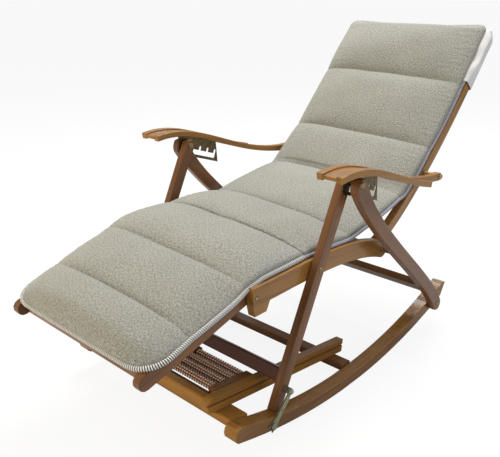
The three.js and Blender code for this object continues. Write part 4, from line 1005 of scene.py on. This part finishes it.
class CHAIR_OT_rear_legs(bpy.types.Operator):
    """Makes the S-shaped rear legs as bent laminated bars"""

    bl_idname = "chair.rear_legs"
    bl_label = "Rear legs"

    def execute(self, context):
        """A cut-cornered ring along a cubic curve, wider towards both ends, which close as half circles."""
        wood = bpy.data.materials["Bamboo rear leg"]
        corners = [FLOOR_POINT + (-0.040, 0.562), FLOOR_POINT + (0.028, 0.4244), FLOOR_POINT + (0.3618, 0.1989)]
        curve = bezier_points(np.array([*corners, ROCKER_HINGE]), 90)
        share = np.linspace(0, 1, len(curve))
        depth = 0.018 + 0.007 * (1 - share) ** 8 + 0.0035 * share**4
        ahead = unit(np.gradient(curve, axis=0))
        reach = np.sin(np.linspace(0, math.pi / 2, 12))[1:]
        start = curve[0] - ahead[0] * (depth[0] * reach[::-1])[:, None]
        end = curve[-1] + ahead[-1] * (depth[-1] * reach)[:, None]
        taper = np.sqrt(np.clip(1 - reach**2, 0.0004, 1))
        line = np.vstack([start, curve, end])
        depth = np.concatenate([depth[0] * taper[::-1], depth, depth[-1] * taper])
        ends = (len(reach), 1)
        normal = turned_left(np.vstack([np.tile(ahead[0], ends), ahead, np.tile(ahead[-1], ends)]))
        low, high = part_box("rear_leg_left")
        inner, outer, edge, least = low[0], high[0], 0.0022, 0.0002
        ring_x = np.array([inner, inner, inner + edge, outer - edge, outer, outer, outer - edge, inner + edge])
        ring_side = np.array([-1, 1, 1, 1, 1, -1, -1, -1])
        ring_cut = np.array([edge, edge, 0, 0, edge, edge, 0, 0])
        offset = ring_side * np.clip(depth[:, None] - ring_cut, least, None)
        place = line[:, None, :] + normal[:, None, :] * offset[:, :, None]
        for side_name, side in SIDES.items():
            x = np.broadcast_to(side * ring_x[:, None], (*offset.shape, 1))
            points, faces = capped(np.concatenate([x, place], -1), flip=side > 0)
            piece = new_piece(f"bent_rear_leg_{side_name}", points, faces, wood, blank_uv(faces), smooth=False)
            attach(piece, "rear")
            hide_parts(f"rear_leg_{side_name}")
        return {"FINISHED"}


class CHAIR_OT_fasteners(bpy.types.Operator):
    """Adds domed, socketed heads over the bolts, and the pressed ribs of the stays"""

    bl_idname = "chair.fasteners"
    bl_label = "Bolt heads and stay ribs"

    def execute(self, context):
        sizes = context.scene.chair_sizes
        brass = bpy.data.materials["Aged brass"]
        zinc = bpy.data.materials["Yellow zinc"]
        # Label, place (y, z), x of the face under the head, body, share of the head radius, finish and slot
        heads = [
            ("rear_top", TOP_HINGE, 0.3264, "rear", 1.0, brass, "brass"),
            ("rocker_pivot", ROCKER_HINGE, 0.3232, "base", 1.0, brass, "brass"),
            ("arm_pivot", ARM_HINGE, 0.2942, None, 1.0, brass, "brass"),
            ("seat_pivot", SEAT_BOLT, 0.2840, "front", 1.0, brass, "brass"),
            ("stay_top", STAY_TOP, 0.3069, "front", 0.62, zinc, "zinc_steel"),
            ("stay_foot", STAY_FOOT, 0.3072, "base", 1.0, zinc, "zinc_steel"),
        ]
        for label, place, x, body, share, finish, slot in heads:
            for side_name, side in SIDES.items():
                radius = sizes.head_radius * share
                piece = self.head(f"{label}_head_{side_name}", place, x, side, radius, finish)
                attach(piece, body or f"arm_{side_name}")
        self.stay_ribs(zinc)
        return {"FINISHED"}

    def stay_ribs(self, finish):
        """Two ribs side by side along each stay, whose middles rise as a power of sin(pi * share)."""
        rib_radius, aside, from_top, from_foot = 0.0021, 0.0035, 0.011, 0.012
        stay_face, rise, rise_power = 0.3031, 0.0008, 0.3
        along = (STAY_FOOT - STAY_TOP) / np.linalg.norm(STAY_FOOT - STAY_TOP)
        across = np.array([-along[1], along[0]])
        share = np.linspace(0, 1, 24)[:, None]
        for side_name, side in SIDES.items():
            for index, offset in enumerate((-aside, aside)):
                start = STAY_TOP + along * from_top + across * offset
                end = STAY_FOOT - along * from_foot + across * offset
                bulge = stay_face + rise * np.sin(np.pi * share[:, 0]) ** rise_power
                path = np.column_stack([side * bulge, start + (end - start) * share])
                piece = tube(f"stay_rib_{side_name}_{index + 1}", path, rib_radius, finish, sides=12)
                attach(piece, "front")

    def head(self, name, place, x, side, radius, material):
        """A domed head with a round socket: height falls as the square root of one minus share squared."""
        height, socket_share, socket_depth, socket_taper = 0.0026, 0.42, 0.0016, 0.94
        share = np.linspace(1, socket_share, 12)
        dome = np.stack([x + height * np.sqrt(1 - share**2), radius * share], -1)
        socket_x = dome[-1, 0] - socket_depth
        profile = np.vstack([
            [(x, 0.0), (x, radius)], dome, [(socket_x, dome[-1, 1] * socket_taper), (socket_x, 0.0)]
        ])
        return lathe(name, profile, place, side, material)


class CHAIR_OT_studio(bpy.types.Operator):
    """Makes the floor, the light and the camera"""

    bl_idname = "chair.studio"
    bl_label = "Studio"

    def execute(self, context):
        settings = context.scene.chair_studio
        scene = context.scene
        scene.view_settings.view_transform = "Standard"
        self.floor()
        self.sky(scene, settings.sky_strength)
        self.lamp("key_lamp", (-0.5, 1.5, 3.3), 1.5, settings.key_power, (1.0, 0.99, 0.97))
        self.lamp("fill_lamp", (-1.0, -3.1, 1.25), 1.8, settings.fill_power, (1.0, 0.87, 0.62), glossy=False)
        self.lamp("side_lamp", (3.0, 0.2, 1.5), 1.6, settings.side_power, (0.86, 0.86, 1.0))
        camera = bpy.data.objects.new("camera", bpy.data.cameras.new("camera"))
        scene.collection.objects.link(camera)
        camera.data.lens = settings.lens
        camera.data.sensor_width = 36
        heading, drop = settings.camera_heading, settings.camera_drop
        forward = Vector((-math.sin(heading) * math.cos(drop), math.cos(heading) * math.cos(drop), -math.sin(drop)))
        camera.location = Vector(settings.camera_place) + Vector((0, FLOOR_POINT[0], 0))
        camera.rotation_euler = forward.to_track_quat("-Z", "Y").to_euler()
        scene.camera = camera
        return {"FINISHED"}

    def floor(self):
        """A wide pale floor that keeps a soft shadow and looks white to the camera."""
        grey, glow_strength, glow_share, reach, drop = 0.55, 1.16, 0.76, 60.0, -0.0005
        material, tree, shader = new_material("Studio floor")
        feed(tree, shader, {"Base Color": (grey, grey, grey, 1), "Roughness": 0.9})
        glow = add_node(tree, "ShaderNodeEmission", {"Color": (1, 1, 1, 1), "Strength": glow_strength})
        seen = add_node(tree, "ShaderNodeLightPath").outputs["Is Camera Ray"]
        share = calculate(tree, "MULTIPLY", seen, glow_share)
        mixed = add_node(tree, "ShaderNodeMixShader", {0: share, 1: shader.outputs[0], 2: glow.outputs[0]})
        feed(tree, tree.nodes["Material Output"], {"Surface": mixed.outputs[0]})
        corners = np.array([(-reach, -reach, drop), (reach, -reach, drop), (reach, reach, drop), (-reach, reach, drop)])
        new_piece("floor", corners, np.array([[0, 1, 2, 3]]), material, smooth=False)

    def sky(self, scene, strength):
        """Even white light, pure white where the camera sees it, also through a surface."""
        world = bpy.data.worlds.new("Studio sky")
        scene.world = world
        world.use_nodes = True
        tree = world.node_tree
        path = add_node(tree, "ShaderNodeLightPath")
        seen = calculate(tree, "MAXIMUM", path.outputs["Is Camera Ray"], path.outputs["Is Transmission Ray"])
        level = ramp(tree, seen, start=strength)
        feed(tree, tree.nodes["Background"], {"Color": (1, 1, 1, 1), "Strength": level})

    def lamp(self, name, place, size, power, tint, glossy=True):
        """A square soft lamp aimed at the seat. One that isn't glossy doesn't show in the lacquer."""
        light = bpy.data.lights.new(name, "AREA")
        light.size = size
        light.energy = power
        light.color = tint
        lamp = bpy.data.objects.new(name, light)
        lamp.visible_glossy = glossy
        bpy.context.scene.collection.objects.link(lamp)
        lamp.location = place
        aim = Vector((0, 0, 0.4)) - Vector(place)
        lamp.rotation_euler = aim.to_track_quat("-Z", "Y").to_euler()


OPERATORS = (
    CHAIR_OT_finishes,
    CHAIR_OT_cushion,
    CHAIR_OT_rollers,
    CHAIR_OT_rear_legs,
    CHAIR_OT_fasteners,
    CHAIR_OT_studio,
)


class CHAIR_PT_panel(bpy.types.Panel):
    """Lists the steps that dress the chair"""

    bl_label = "Rocking chair"
    bl_idname = "CHAIR_PT_panel"
    bl_space_type = "VIEW_3D"
    bl_region_type = "UI"
    bl_category = "Chair"

    def draw(self, context):
        for operator in OPERATORS:
            self.layout.operator(operator.bl_idname)
        for settings in (context.scene.chair_sizes, context.scene.chair_colours, context.scene.chair_studio):
            for name in settings.bl_rna.properties.keys()[2:]:
                self.layout.prop(settings, name)


CLASSES = (ChairSizes, ChairColours, StudioSettings, *OPERATORS, CHAIR_PT_panel)


def register():
    for item in CLASSES:
        bpy.utils.register_class(item)
    bpy.types.Scene.chair_sizes = bpy.props.PointerProperty(type=ChairSizes)
    bpy.types.Scene.chair_colours = bpy.props.PointerProperty(type=ChairColours)
    bpy.types.Scene.chair_studio = bpy.props.PointerProperty(type=StudioSettings)


def unregister():
    del bpy.types.Scene.chair_studio
    del bpy.types.Scene.chair_colours
    del bpy.types.Scene.chair_sizes
    for item in reversed(CLASSES):
        bpy.utils.unregister_class(item)


def main():
    register()
    bpy.ops.chair.finishes()
    bpy.ops.chair.cushion()
    bpy.ops.chair.rollers()
    bpy.ops.chair.rear_legs()
    bpy.ops.chair.fasteners()
    bpy.ops.chair.studio()


if __name__ == "__main__":
    main()
